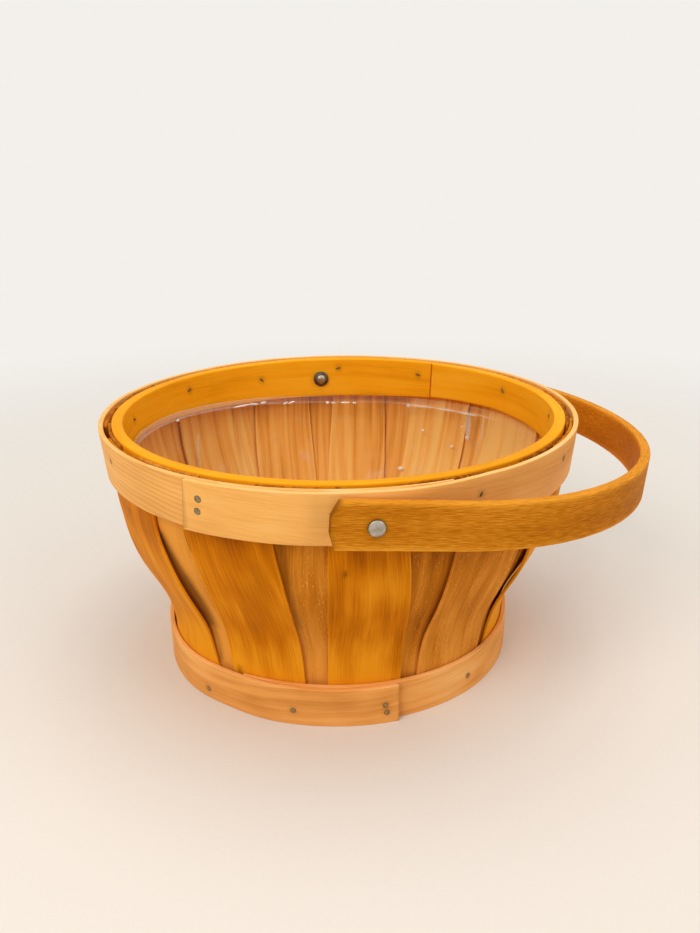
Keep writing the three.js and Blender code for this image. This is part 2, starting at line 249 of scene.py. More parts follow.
# %% [markdown]
# ## The woods
# Every wooden piece is peeled or sawn from poplar, stained and brushed with a thin varnish. The
# eye sees soft bands and cloudy stain, growth lines where a strip is cut along them, fine fibres,
# short dark pores, pale flecks on the peeled wood, and dark stains where metal went in. A pattern
# that is fixed in space would run straight on through the bends. So it is laid out on the flat
# strip and kept in an attribute called grain, and follows the wood round each bend. Real fibres
# are about 0.1 mm wide. They are drawn coarser, so as to show.

# %% Streaks along the grain


def streaks(tree, grain, long, wide, detail, low=0.0, high=1.0):
    """Noise drawn out along the grain, in streaks about this long and wide (mm). Low and high
    say which values of the noise become 0 and 1."""
    squeezed = add_node(tree, "ShaderNodeVectorMath", {
        0: grain, 1: (1 / (long * MM), 1 / (wide * MM), 1 / (wide * MM))}, operation="MULTIPLY")
    noise = add_node(tree, "ShaderNodeTexNoise", {
        "Vector": squeezed.outputs[0], "Scale": 1.0, "Detail": detail, "Roughness": 0.55})
    return add_node(tree, "ShaderNodeMapRange", {
        "Value": noise.outputs["Fac"], "From Min": low, "From Max": high}).outputs["Result"]


def weigh(tree, *parts, start=0.0):
    """Adds up values, each times its weight."""
    total = start
    for value, weight in parts:
        inputs = {0: value, 1: weight, 2: total}
        total = add_node(tree, "ShaderNodeMath", inputs, operation="MULTIPLY_ADD").outputs[0]
    return total


# %% Varnished wood


def growth_lines(tree, grain, spacing):
    """Dark growth lines along the grain, this far apart (mm)."""
    drawn = add_node(tree, "ShaderNodeVectorMath", {0: grain, 1: (0.02, 0, 1)}, operation="MULTIPLY")
    return add_node(tree, "ShaderNodeTexWave", {
        "Vector": drawn.outputs[0], "Scale": 0.314 / (spacing * MM), "Distortion": 1.6,
        "Detail": 2.0, "Detail Scale": 0.6}, wave_type="BANDS", bands_direction="Z",
        wave_profile="SAW").outputs["Fac"]


def varnished_wood(name, pale, middle, deep, bands=(4.5, 0.3), fibres=(12, 0.6, 0.3),
                   clouds=(20, 0.3), lines=None, flecks=0.0, pores=0.3, slant=0.0, wavy=6.0,
                   roughness=0.55, gloss=0.03, relief=0.3):
    """A stained and varnished wood. Bands and clouds are a width in mm and a weight, fibres a
    length, a width and a weight, lines a spacing and a weight. Slant is the grain's slope, and
    wavy how far it wanders (mm)."""
    material, tree = new_material(name)
    stored = add_node(tree, "ShaderNodeAttribute", attribute_name="grain").outputs["Vector"]
    part = add_node(tree, "ShaderNodeSeparateXYZ", {"Vector": stored}).outputs
    drift = streaks(tree, stored, 70, 24, 1.0)
    across = weigh(tree, (part["X"], slant), (drift, wavy * MM), (part["Z"], 1.0))
    grain = add_node(tree, "ShaderNodeCombineXYZ", {
        "X": part["X"], "Y": part["Y"], "Z": across}).outputs["Vector"]
    broad = streaks(tree, grain, 130, bands[0], 2.0, 0.3, 0.7)
    fine = streaks(tree, grain, fibres[0], fibres[1], 3.0, 0.28, 0.72)
    cloudy = streaks(tree, stored, 2.6 * clouds[0], clouds[0], 1.5, 0.3, 0.7)
    layers = [(broad, bands[1]), (fine, fibres[2]), (cloudy, clouds[1])]
    if lines:
        where_cut = add_node(tree, "ShaderNodeAttribute", attribute_name="lines").outputs["Fac"]
        layers.append((add_node(tree, "ShaderNodeMath", {
            0: growth_lines(tree, grain, lines[0]), 1: where_cut},
            operation="MULTIPLY").outputs[0], -lines[1]))
    if flecks:
        pale_dots = streaks(tree, grain, 1.6, 0.6, 1.0, 0.58, 0.7)
        patches = streaks(tree, stored, 30, 4, 1.0, 0.4, 0.6)
        layers.append((add_node(tree, "ShaderNodeMath", {
            0: pale_dots, 1: patches}, operation="MULTIPLY").outputs[0], flecks))
    even = 0.5 - 0.5 * (bands[1] + fibres[2] + clouds[1])
    tone = add_node(tree, "ShaderNodeAttribute", attribute_name="tone").outputs["Fac"]
    ramp = add_node(tree, "ShaderNodeValToRGB", {"Fac": weigh(tree, *layers, (tone, 1.0), start=even)})
    stops = ramp.color_ramp.elements
    stops[0].position, stops[0].color = 0.1, linear(deep)
    stops[1].position, stops[1].color = 0.9, linear(pale)
    half = stops.new(0.5)
    half.color = linear(middle)
    pits = streaks(tree, grain, 4, 0.4, 2.0, 0.6, 0.7)
    pored = add_node(tree, "ShaderNodeMix", {
        "Factor": weigh(tree, (pits, pores)), "A": ramp.outputs["Color"], "B": linear(deep)},
        data_type="RGBA").outputs["Result"]
    stain = add_node(tree, "ShaderNodeAttribute", attribute_name="stain").outputs["Fac"]
    colour = add_node(tree, "ShaderNodeMix", {
        "Factor": weigh(tree, (stain, 0.9)), "A": pored, "B": linear("#3C1B0A")},
        data_type="RGBA").outputs["Result"]
    rough = weigh(tree, (fine, -0.08), (cloudy, 0.06), (pits, 0.1), (stain, 0.2), start=roughness)
    height = weigh(tree, (fine, 0.6), (broad, 0.3), (pits, -0.6))
    bump = add_node(tree, "ShaderNodeBump", {
        "Height": height, "Strength": relief, "Distance": 0.25 * MM})
    surface(tree, {"Base Color": colour, "Roughness": rough, "Normal": bump.outputs["Normal"],
                   "IOR": 1.5, "Specular IOR Level": gloss})
    return material


# %% [markdown]
# Each wood is the same poplar with its own stain, and the varnish has sunk in, so the gloss is
# low. Each takes three colours, from its palest to its deepest.

# %% The eight woods
# The rim strip is nearly bare, creamy, with thin growth lines where it was sawn along them.
pale_strip = varnished_wood(
    "sawn_poplar_pale_varnish", "#FFD088", "#FBB860", "#E09C4C", bands=(5, 0.2),
    fibres=(16, 0.5, 0.26), clouds=(16, 0.3), lines=(2.1, 0.34), slant=0.07, pores=0.15, gloss=0.2)
# The foot strip is a little browner and cloudier.
foot_strip = varnished_wood(
    "sawn_poplar_tan_varnish", "#FFC67C", "#F2A857", "#CF843A", bands=(6, 0.26),
    fibres=(18, 0.6, 0.2), clouds=(12, 0.4), lines=(4.5, 0.2), slant=-0.04, pores=0.1, gloss=0.06)
# The thick inner hoop is smooth and golden.
gold_strip = varnished_wood(
    "sawn_poplar_golden_stain", "#FFBC30", "#F8A816", "#D88A08", bands=(4.5, 0.24),
    fibres=(20, 0.5, 0.22), clouds=(22, 0.34), pores=0.12, wavy=3, roughness=0.5)
# The handle is honey brown and still rough from the saw, so short dashes show all over it.
handle_wood = varnished_wood(
    "rough_sawn_poplar_honey_stain", "#EDA030", "#C4740C", "#945204", bands=(6, 0.1),
    fibres=(4.6, 0.22, 0.56), clouds=(14, 0.16), pores=0.2, wavy=1.5, relief=0.5)
# Peeled veneer takes the stain in soft clouds, amber on most of the outer staves.
amber_veneer = varnished_wood(
    "peeled_poplar_amber_stain", "#F09C1C", "#CE7604", "#9A4C00", bands=(7, 0.26),
    fibres=(20, 0.5, 0.3), clouds=(13, 0.46), pores=0.1)
# The tan veneer was cut across the rays, which show as pale flecks.
tan_veneer = varnished_wood(
    "peeled_poplar_tan_stain", "#EB9E40", "#CA7A1A", "#944E0A", bands=(5, 0.34),
    fibres=(16, 0.5, 0.28), clouds=(14, 0.3), flecks=0.45, pores=0.1)
# Inside, the stain is thinner and lies in long streaks.
inside_veneer = varnished_wood(
    "peeled_poplar_thin_stain", "#FFC870", "#F4A84A", "#C67410", bands=(3.4, 0.56),
    fibres=(26, 0.6, 0.16), clouds=(20, 0.2), pores=0.05)
# The board is plain sanded wood.
board_wood = varnished_wood(
    "sanded_poplar_board", "#EFBE7C", "#E2A75E", "#BF8440", bands=(7, 0.35),
    fibres=(24, 0.6, 0.2), clouds=(24, 0.3), roughness=0.65, gloss=0.25)
print("woods:", len([m for m in bpy.data.materials if "poplar" in m.name]))

# %% [markdown]
# ## Working helpers
# An operator acts on everything that is selected, so each step first picks one piece, and then,
# in edit mode, just the vertices, edges or faces that it needs, chosen by where they are.

# %% Choose, edit and pick


def choose(piece):
    """Selects one piece alone and makes it active."""
    bpy.ops.object.select_all(action="DESELECT")
    piece.select_set(True)
    bpy.context.view_layer.objects.active = piece


@contextmanager
def editing(piece):
    """Edit mode on one piece, and back."""
    choose(piece)
    bpy.ops.object.mode_set(mode="EDIT")
    yield
    bpy.ops.object.mode_set(mode="OBJECT")


def pick(kind, test):
    """In edit mode, selects just the VERT, EDGE or FACE elements that pass a test."""
    bpy.ops.mesh.select_mode(type=kind)
    bpy.ops.mesh.select_all(action="DESELECT")
    mesh = bpy.context.object.data
    shape = bmesh.from_edit_mesh(mesh)
    elements = {"VERT": shape.verts, "EDGE": shape.edges, "FACE": shape.faces}[kind]
    count = 0
    for element in elements:
        if test(element):
            element.select_set(True)
            count += 1
    bmesh.update_edit_mesh(mesh)
    return count


def just_added(name):
    """The object that an operator has just added, named, with its size and place applied."""
    piece = bpy.context.object
    piece.name = piece.data.name = name
    bpy.ops.object.transform_apply(location=True, rotation=True, scale=True)
    return piece


def apply_modifier(piece, kind, **settings):
    """Adds a modifier and applies it at once."""
    choose(piece)
    modifier = piece.modifiers.new(kind.lower(), kind)
    for name, value in settings.items():
        setattr(modifier, name, value)
    bpy.ops.object.modifier_apply(modifier=modifier.name)


def outward(piece):
    """Joins doubled vertices and turns every face outwards."""
    with editing(piece):
        bpy.ops.mesh.select_all(action="SELECT")
        bpy.ops.mesh.remove_doubles(threshold=1e-6)
        bpy.ops.mesh.normals_make_consistent(inside=False)


# %% Attributes and finishing


def places(piece):
    """Where a piece's vertices are, as rows of x, y, z."""
    flat = np.zeros(3 * len(piece.data.vertices))
    piece.data.vertices.foreach_get("co", flat)
    return flat.reshape(-1, 3)


def move_to(piece, spots):
    """Puts a piece's vertices where rows of x, y, z say."""
    piece.data.vertices.foreach_set("co", spots.ravel())


def angles_of(points):
    """The angle of each row of x, y, z, as the sizes count it."""
    return np.degrees(np.arctan2(points[:, 0], -points[:, 1]))


def keep_grain(piece, laid=None, offset=(0, 0, 0), order=(0, 1, 2)):
    """Stores where the wood lies while it is flat: where it is now, unless rows of x, y, z are
    given. Order says which axes are along, deep and across."""
    laid = places(piece) if laid is None else laid
    stored = piece.data.attributes.new("grain", "FLOAT_VECTOR", "POINT")
    stored.data.foreach_set("vector", (laid[:, order] + np.array(offset)).ravel())


def keep_value(piece, name, values):
    """Stores one number for each vertex, or one for the whole piece."""
    stored = piece.data.attributes.get(name) or piece.data.attributes.new(name, "FLOAT", "POINT")
    stored.data.foreach_set("value", np.broadcast_to(values, len(piece.data.vertices)))


STAIN = 0.45  # right beside a nail


def stain_round(piece, spots, reach, shade=0.0):
    """Darkens the wood round each spot, fading out over this reach, over an earlier shade."""
    here = places(piece)
    shade = np.zeros(len(here)) + shade
    for spot in spots:
        gap = np.linalg.norm(here - np.array(spot), axis=1)
        shade = np.maximum(shade, STAIN * np.exp(-(gap / reach) ** 2))
    keep_value(piece, "stain", shade)


def dress(piece, material, slot, body, *nodes, inside=None):
    """Gives a finished piece its material and smooth shading, puts it under its body and hides the
    CAD nodes that it stands for.
    Faces that look towards the basket's axis may have a material of their own."""
    choose(piece)
    bpy.ops.object.shade_smooth_by_angle(angle=math.radians(38))
    piece.data.materials.clear()
    piece.data.materials.append(material)
    if inside:
        piece.data.materials.append(inside)
        with editing(piece):
            pick("FACE", lambda f: f.normal.xy.dot(f.calc_center_median().xy.normalized()) < -0.5)
            piece.active_material_index = 1
            bpy.ops.object.material_slot_assign()
    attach(piece, body)
    if nodes:
        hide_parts(*nodes)
    print(piece.name, len(piece.data.polygons), "faces")


# %% [markdown]
# ## Bent strips
# A hoop is a sawn strip that was soaked, bent round and nailed to itself. It could be made
# as a ring, but then its ends and its grain would be wrong. So it is made as in the workshop: a
# flat strip is cut to its real length, its edges are rounded, and it is bent along a path.

# %% Cut a strip
SLICE = 1.7 * MM  # the longest step along a bent strip, fine enough for a smooth bend


def sawn_strip(name, length, thickness, width):
    """A flat strip from x = 0, lying in y = 0 to thickness, its top edge at z = 0."""
    bpy.ops.object.select_all(action="DESELECT")
    bpy.ops.mesh.primitive_cube_add(
        size=1, location=(length / 2, thickness / 2, -width / 2), scale=(length, thickness, width))
    return just_added(name)


def long_edge(edge):
    """Whether an edge runs along the strip."""
    a, b = (v.co for v in edge.verts)
    return abs(a.x - b.x) > 0.9 * (a - b).length


def round_long_edges(strip, radius):
    """Rounds the four edges along the strip."""
    with editing(strip):
        pick("EDGE", long_edge)
        bpy.ops.mesh.bevel(offset=radius, segments=3, affect="EDGES")


def cut_at(strip, *marks, axis=0):
    """Saws a line round the strip at each mark along an axis."""
    normal = tuple(1.0 if i == axis else 0.0 for i in range(3))
    with editing(strip):
        for mark in marks:
            bpy.ops.mesh.select_all(action="SELECT")
            bpy.ops.mesh.bisect(plane_co=tuple(mark * n for n in normal), plane_no=normal)


def saw_off(piece, point, away):
    """Saws off what lies beyond a point, looking away, and closes the cut."""
    with editing(piece):
        bpy.ops.mesh.select_all(action="SELECT")
        bpy.ops.mesh.bisect(plane_co=point, plane_no=Vector(away).normalized(), clear_outer=True,
                            use_fill=True)


def press_ring(strip, x, share, face):
    """Makes one ring of the strip thinner by this share, towards the face at this depth."""
    with editing(strip):
        pick("VERT", lambda v: abs(v.co.x - x) < 1e-6)
        bpy.ops.transform.resize(value=(1, share, 1), center_override=(x, face, 0))


def slice_finely(strip):
    """Halves the edges along the strip until none is longer than a slice."""
    with editing(strip):
        while pick("EDGE", lambda e: long_edge(e) and e.calc_length() > SLICE):
            bpy.ops.mesh.subdivide(number_cuts=1)


# %% Bend a strip


def bend_along(strip, points):
    """Bends a strip along a flat path. Its inside is on the left of the way the path runs."""
    path = bpy.data.curves.new("bend", "CURVE")
    path.dimensions = "2D"
    path.fill_mode = "NONE"
    path.use_radius = False
    line = path.splines.new("POLY")
    line.points.add(len(points) - 1)
    for point, (x, y) in zip(line.points, points):
        point.co = (x, y, 0, 1)
    former = bpy.data.objects.new("bend", path)
    bpy.context.scene.collection.objects.link(former)
    apply_modifier(strip, "CURVE", object=former, deform_axis="POS_X")
    bpy.data.objects.remove(former)


def path_length(points):
    """How long a path is."""
    return float(np.linalg.norm(np.diff(np.array(points), axis=0), axis=1).sum())


def uneven(strip, depth, size):
    """Lets the strip's edges wander a little, as sawn and sanded wood does."""
    clouds = bpy.data.textures.new("wander", "CLOUDS")
    clouds.noise_scale = size
    apply_modifier(strip, "DISPLACE", texture=clouds, direction="Z", texture_coords="LOCAL",
                   strength=depth, mid_level=1.0)


def lean_in(strip, share):
    """Draws the lower edge in by this share, as the rim's hoops lean."""
    apply_modifier(strip, "SIMPLE_DEFORM", deform_method="TAPER", deform_axis="Z", factor=share)


def lift(piece, height):
    """Moves a piece up, within its mesh."""
    with editing(piece):
        bpy.ops.mesh.select_all(action="SELECT")
        bpy.ops.transform.translate(value=(0, 0, height))


# %% [markdown]
# ## Outer hoop and base hoop
# Each of these strips goes round once and on over its own start, which is planed thin so that no
# step shows. The path is a circle that steps out by one thickness where it passes over. The
# visible end of the rim's strip is left of the front rivet, and the one at the foot is just right
# of the front. The foot isn't quite round: left of the front, where its strip starts under
# itself, it bulges by a few millimetres, and on the right it is a little flat. The feet of the
# staves follow it.

# %% Out of round
OUT_OF_ROUND = ((-55, 23, 3.4), (76, 27, -2.4))  # angle and spread (degrees), how far out (mm)
BULGE_FADES = 55 * MM


def bulge(angle):
    """How far the foot stands out of round at an angle."""
    out = 0
    for centre, spread, most in OUT_OF_ROUND:
        away = (np.asarray(angle) - centre + 180) % 360 - 180
        out = out + most * np.exp(-(away / spread) ** 2)
    return out * MM


def near_foot(height):
    """How much of the bulge is left at a height."""
    return (1 - np.clip((height - base_top) / BULGE_FADES, 0, 1)) ** 1.5


# %% Paths of the lapped hoops
LAP_EASE, THINNED, THIN_SHARE = 22.0, 12.0, 0.35  # degrees, degrees, share of the thickness


def eased_lap(along, lap):
    """0 where a strip lies on its own start, rising to 1 where it has come down past it."""
    t = min(max((along - lap + THINNED) / LAP_EASE, 0), 1)
    return t * t * (3 - 2 * t)


def lapped_path(radius, end, turn, lap, bulging=0):
    """From the visible end round and under it: points on the outside face, turning left.
    Bulging is 1 for a hoop that is out of round as the foot is."""
    points = []
    for along in np.linspace(0, 360 + lap, 560):
        angle = end + turn * along
        reach = radius + LAP_RISE * (1 - eased_lap(along, lap)) + bulging * bulge(angle)
        points.append(tuple(at(reach, angle, 0).xy))
    return points if turn > 0 else points[::-1]


OUTER_END, OUTER_LAP = -38.2, 54.2
BASE_END, BASE_LAP = 9.5, 45.0
rim_path = lapped_path(rim_radius, OUTER_END, 1, OUTER_LAP)
foot_path = lapped_path(base_radius, BASE_END, -1, BASE_LAP, 1)
print(f"rim strip {1000 * path_length(rim_path):.0f} mm, foot strip "
      f"{1000 * path_length(foot_path):.0f} mm long")

# %% [markdown]
# Nails hold each visible end and the staves behind it. Their points were hammered over, which
# shows as short dark dashes: outside, where they were driven in from the inside, and on the inner
# hoop, where they came through. Their places are listed before the wood, which is stained by them.

# %% Where nails and clinched points are (angle, height in mm)
RIM_NAILS = ((-33.5, 103.9), (-34.0, 99.0))
FOOT_NAILS = ((5.6, 8.6), (6.0, 5.1), (-19.8, 6.7), (-48, 4.4), (34.6, 7.7), (92, 8), (150, 7),
              (212, 7.5), (268, 6))
RIM_POINTS = ((22.0, 103.2), (51.0, 103.4), (-65.5, 103.4), (112, 103), (168, 101.5), (226, 104))
CLINCHES = ((-131.1, 104.0), (-99.0, 103.1), (-159.2, 101.4), (173.9, 105.1), (146.0, 103.4),
            (111.8, 104.1), (80.0, 105.6), (-38, 103), (38, 102.5))
inner_radius = wall_rim - 2 * LAYER
INNER_THICK = 4.8 * MM


def lapped(radius, end, turn, lap, angle):
    """The outside radius of a lapped hoop at an angle."""
    along = (turn * (angle - end)) % 360
    return radius + LAP_RISE * (1 - eased_lap(along, lap))


def rim_spot(angle, z):
    """The point at this angle and height (mm) on the outer hoop."""
    radius = lapped(rim_radius, OUTER_END, 1, OUTER_LAP, angle)
    return at(leaning(radius, z * MM), angle, z * MM)


def foot_spot(angle, z):
    """The point at this angle and height (mm) on the base hoop."""
    radius = lapped(base_radius, BASE_END, -1, BASE_LAP, angle)
    return at(radius + bulge(angle), angle, z * MM)


def inner_spot(angle, z):
    """The point at this angle and height (mm) on the inner hoop's inside."""
    return at(leaning(inner_radius - INNER_THICK, z * MM), angle, z * MM)


pivot_z = (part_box("front_rivet")[0].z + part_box("front_rivet")[1].z) / 2

# %% [markdown]
# The outer hoop's visible end is sawn off a little aslant, and its start, which it covers, is
# planed thin. The flat strip is laid out from the visible end. Lines are sawn close to that end and
# all along the strip, so that the dark line at the cut, which is stain and a painted shadow of the
# step, the painted shade beside the handle's end and the stain round the points can be stored
# there. The strip's last third, which comes round to the left of the visible end, shows growth lines.

# %% Outer hoop
EDGE_ROUND, END_SLANT = 0.3 * MM, 2.9 * MM
# Where a grey patch of painted shade lies beside the handle's end, and how big it is.
HANDLE_SHADE_SPOT, HANDLE_SHADE_SIZE = (52, 0, -9), (3, 99, 8)  # beside the handle's end (mm on the flat strip)
depth = rim_top - rim_low
rim_length = path_length(rim_path)
outer_hoop = sawn_strip("bent_outer_hoop", rim_length, STRIP, depth)
round_long_edges(outer_hoop, EDGE_ROUND)
thin_from = rim_length - math.radians(THINNED) * rim_radius
cut_at(outer_hoop, thin_from)
press_ring(outer_hoop, rim_length, THIN_SHARE, STRIP)
slant = Vector((-depth, 0, END_SLANT))
saw_off(outer_hoop, (0, 0, -depth), slant)
cut_at(outer_hoop, 3.4 * MM, 4 * MM)
slice_finely(outer_hoop)
cut_at(outer_hoop, *np.linspace(-depth * 0.92, -depth * 0.08, 12), axis=2)
keep_grain(outer_hoop)
laid = places(outer_hoop)
keep_value(outer_hoop, "lines", np.clip(laid[:, 0] / rim_length * 5 - 3.2, 0.12, 1))
# The top edge is painted paler: painted light from above.
keep_value(outer_hoop, "tone", 0.2 * (laid[:, 2] > -0.2 * MM))
# The dark line at the sawn end is stain and a painted shadow of the step over the layer below.
from_end = laid[:, 0] - END_SLANT * (1 + laid[:, 2] / depth)
end_shade = 0.4 * np.clip(1 - from_end / (0.5 * MM), 0, 1)
# Beside the handle's end the hoop is painted darker: painted shade.
handle_shade = ((laid - np.array(HANDLE_SHADE_SPOT) * MM) / (np.array(HANDLE_SHADE_SIZE) * MM)) ** 2
end_shade = np.maximum(end_shade, 0.13 * np.exp(-handle_shade.sum(1)))
uneven(outer_hoop, 0.35 * MM, 30 * MM)
bend_along(outer_hoop, rim_path)
lean_in(outer_hoop, RIM_SLOPE * depth / rim_radius)
lift(outer_hoop, rim_top)
stain_round(outer_hoop, [rim_spot(*spot) for spot in RIM_POINTS], 1.5 * MM, end_shade)
outward(outer_hoop)
dress(outer_hoop, pale_strip, "outer_hoop_wood", "basket", "outer_hoop")

# %% [markdown]
# The base hoop is made in the same way, but it goes the other way round, so its flat strip starts
# with the thinned end. Its top edge is painted paler than its face, as painted light from above, and
# a patch to the right of its visible end is paler too.

# %% Base hoop
PALE_PATCH, PATCH_SPREAD = 28, 17  # degrees
foot_length = path_length(foot_path)
base_hoop = sawn_strip("bent_base_hoop", foot_length, STRIP, base_top)
round_long_edges(base_hoop, EDGE_ROUND)
cut_at(base_hoop, math.radians(THINNED) * base_radius)
press_ring(base_hoop, 0, THIN_SHARE, STRIP)
cut_at(base_hoop, foot_length - 1.1 * MM, foot_length - 0.5 * MM)
slice_finely(base_hoop)
cut_at(base_hoop, *np.linspace(-base_top * 0.92, -base_top * 0.08, 10), axis=2)
keep_grain(base_hoop, offset=(1.3, 0, 0.04))
laid = places(base_hoop)
keep_value(base_hoop, "lines", 0.6)
lit_top_edge = laid[:, 2] > -0.2 * MM
end_shade = 0.4 * np.clip(1 - (foot_length - laid[:, 0]) / (0.7 * MM), 0, 1)
bend_along(base_hoop, foot_path)
lift(base_hoop, base_top)
from_patch = angles_of(places(base_hoop)) - PALE_PATCH
# The top edge is painted paler: painted light from above.
keep_value(base_hoop, "tone", 0.3 * lit_top_edge + 0.16 * np.exp(-(from_patch / PATCH_SPREAD) ** 2))
stain_round(base_hoop, [foot_spot(*spot) for spot in FOOT_NAILS], 1.5 * MM, end_shade)
outward(base_hoop)
dress(base_hoop, foot_strip, "base_hoop_wood", "basket", "base_hoop")

# %% [markdown]
# ## Inner hoop
# This one is twice as thick, and its ends are planed to long wedges that lie on each other, a
# scarf joint, so the hoop stays even all round. The wedges are made on the flat strip: rings are
# sawn where a wedge starts and ends, and each ring is pressed thinner towards the face that
# stays. A boolean cut would do too, but would break up the even rows of faces that bend well. The
# visible tip is at the back, on the right. The strip isn't quite even: it is deepest at the back
# and narrower at both sides.

# %% Inner hoop
SCARF_END, SCARF, TIP = 141.5, 32.0, 1 * MM
circle = 360 + SCARF
per_degree = math.radians(1) * inner_radius
scarf_length = SCARF * per_degree
shoulder = 0.6 * per_degree
inner_length = circle * per_degree
hoop_path = [tuple(at(inner_radius, SCARF_END + a, 0).xy) for a in np.linspace(0, circle, 560)]
inner_hoop = sawn_strip("bent_inner_hoop", inner_length, INNER_THICK, depth)
round_long_edges(inner_hoop, 0.65 * MM)
turn_start = inner_length - scarf_length
cut_at(inner_hoop, scarf_length, scarf_length + shoulder, turn_start - shoulder, turn_start)
tip_share, full_share = TIP / INNER_THICK, (INNER_THICK - TIP - FIT) / INNER_THICK
press_ring(inner_hoop, 0, tip_share, INNER_THICK)
press_ring(inner_hoop, scarf_length, full_share, INNER_THICK)
press_ring(inner_hoop, turn_start, full_share, 0)
press_ring(inner_hoop, inner_length, tip_share, 0)
slice_finely(inner_hoop)
cut_at(inner_hoop, *np.linspace(-depth * 0.9, -depth * 0.1, 9), axis=2)
keep_grain(inner_hoop, offset=(2.6, 0, 0.1))
LOWER_EDGE = (  # angle, and how much higher the lower edge is there (mm)
    (-180, -1), (-156, -0.9), (-137, 0.5), (-124, 1.6), (-107, 2.6), (-85, 2), (-40, 0), (40, 0),
    (85, 2.6), (114, 2.9), (126, 2.2), (139, 1.5), (153, -0.1), (165, -0.9), (180, -1))
laid = places(inner_hoop)
angles = (SCARF_END + laid[:, 0] / per_degree + 180) % 360 - 180
laid[:, 2] *= 1 - np.interp(angles, *zip(*LOWER_EDGE)) * MM / depth
move_to(inner_hoop, laid)
uneven(inner_hoop, 0.3 * MM, 40 * MM)
bend_along(inner_hoop, hoop_path)
lean_in(inner_hoop, RIM_SLOPE * depth / inner_radius)
lift(inner_hoop, rim_top)
outward(inner_hoop)
stain_round(inner_hoop, [inner_spot(*spot) for spot in CLINCHES], 1.8 * MM)
dress(inner_hoop, gold_strip, "inner_hoop_wood", "basket", "inner_hoop")

# %% [markdown]
# ## Handle
# The handle is one sawn strip with its corners cut off, steamed and bent to a bow: straight beside
# the rivets, then half of an ellipse. A curve with a square section would be quicker, but could
# have neither these corners nor a grain of its own, so it is a strip again. It lies 4 degrees
# below level, held by its rivets' friction: it is bent flat and then turned about their line.

# %% The handle's bow
HANDLE_WIDTH, HANDLE_THICK, STUB, STRAIGHT = 17.4 * MM, 4 * MM, 15.4 * MM, 30 * MM
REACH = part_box("handle")[1].x - FIT - STRAIGHT - HANDLE_THICK
DROOP = 4.3  # degrees
back_seat = rim_radius + FIT
front_seat = back_seat + LAP_RISE
middle, half_span = (back_seat - front_seat) / 2, (back_seat + front_seat) / 2
bow = [(STRAIGHT + REACH * math.cos(a), middle + half_span * math.sin(a))
       for a in np.linspace(-math.pi / 2, math.pi / 2, 300)]
bow = [(-STUB, middle - half_span), *bow, (-STUB, middle + half_span)]
handle_length = path_length(bow)
print(f"handle strip {1000 * handle_length:.0f} mm long")

# %% Saw the handle and its corners
# Lines are sawn close to the ends too, where the stain changes fast.
CUT_IN, CUT_DOWN = {-1: 1.8 * MM, 1: 2.8 * MM}, 5.5 * MM  # at the lower and the upper corners
handle = sawn_strip("bent_handle", handle_length, HANDLE_THICK, HANDLE_WIDTH)
with editing(handle):
    bpy.ops.mesh.select_all(action="SELECT")
    bpy.ops.transform.translate(value=(0, -HANDLE_THICK, HANDLE_WIDTH / 2))
for x, way_out in ((0, -1), (handle_length, 1)):
    for edge in (-1, 1):
        corner = (x, 0, edge * (HANDLE_WIDTH / 2 - CUT_DOWN))
        saw_off(handle, corner, (way_out * CUT_DOWN, 0, edge * CUT_IN[edge]))
with editing(handle):
    pick("EDGE", lambda e: abs(e.verts[0].co.y - e.verts[1].co.y) < 0.01 * MM)
    bpy.ops.mesh.bevel(offset=0.45 * MM, segments=2, affect="EDGES")
cut_at(handle, 0.8 * MM, 2.6 * MM, handle_length - 2.6 * MM, handle_length - 0.8 * MM)
slice_finely(handle)
cut_at(handle, *np.linspace(-7.5 * MM, 7.5 * MM, 11), axis=2)
keep_grain(handle, offset=(4.1, 0, 0.2))

# %% Stain, bend and hang the handle
# The sawn ends drank more stain. The long edges are paler, partly from wear and partly a
# painted highlight where their rounding catches the light.
shape = places(handle)
from_end = np.minimum(shape[:, 0], handle_length - shape[:, 0])
cut_in = np.where(shape[:, 2] > 0, CUT_IN[1], CUT_IN[-1])
sloping = cut_in * np.clip(np.abs(shape[:, 2]) - HANDLE_WIDTH / 2 + CUT_DOWN, 0, None) / CUT_DOWN
end_stain = 0.6 * np.exp(-np.maximum(from_end - sloping, 0) / (0.55 * MM))
# Paler long edges: wear and a painted highlight.
worn = np.clip((np.abs(shape[:, 2]) - HANDLE_WIDTH / 2 + 1.6 * MM) / (0.9 * MM), 0, 1)
bend_along(handle, bow)
keep_value(handle, "stain", end_stain)
keep_value(handle, "tone", 0.28 * worn)
outward(handle)
handle.rotation_euler[1] = math.radians(DROOP)
handle.location.z = pivot_z
choose(handle)
bpy.ops.object.transform_apply(location=True, rotation=True, scale=True)
dress(handle, handle_wood, "handle_wood", "handle", "handle")

# %% [markdown]
# ## Staves
# A stave is a strip of veneer about 1 mm thick. Under the hoops it is pressed round, and between
# them it tries to stay flat, so its edges lift off the round and leave dark gaps. The outer
# staves cover the gaps between the inner ones. Each starts as a grid, is laid on the wall's
# curve by formula, because no operator knows that curve, and gets its thickness and broken
# edges from modifiers. Every stave differs a little in width, place and how its edges curl.

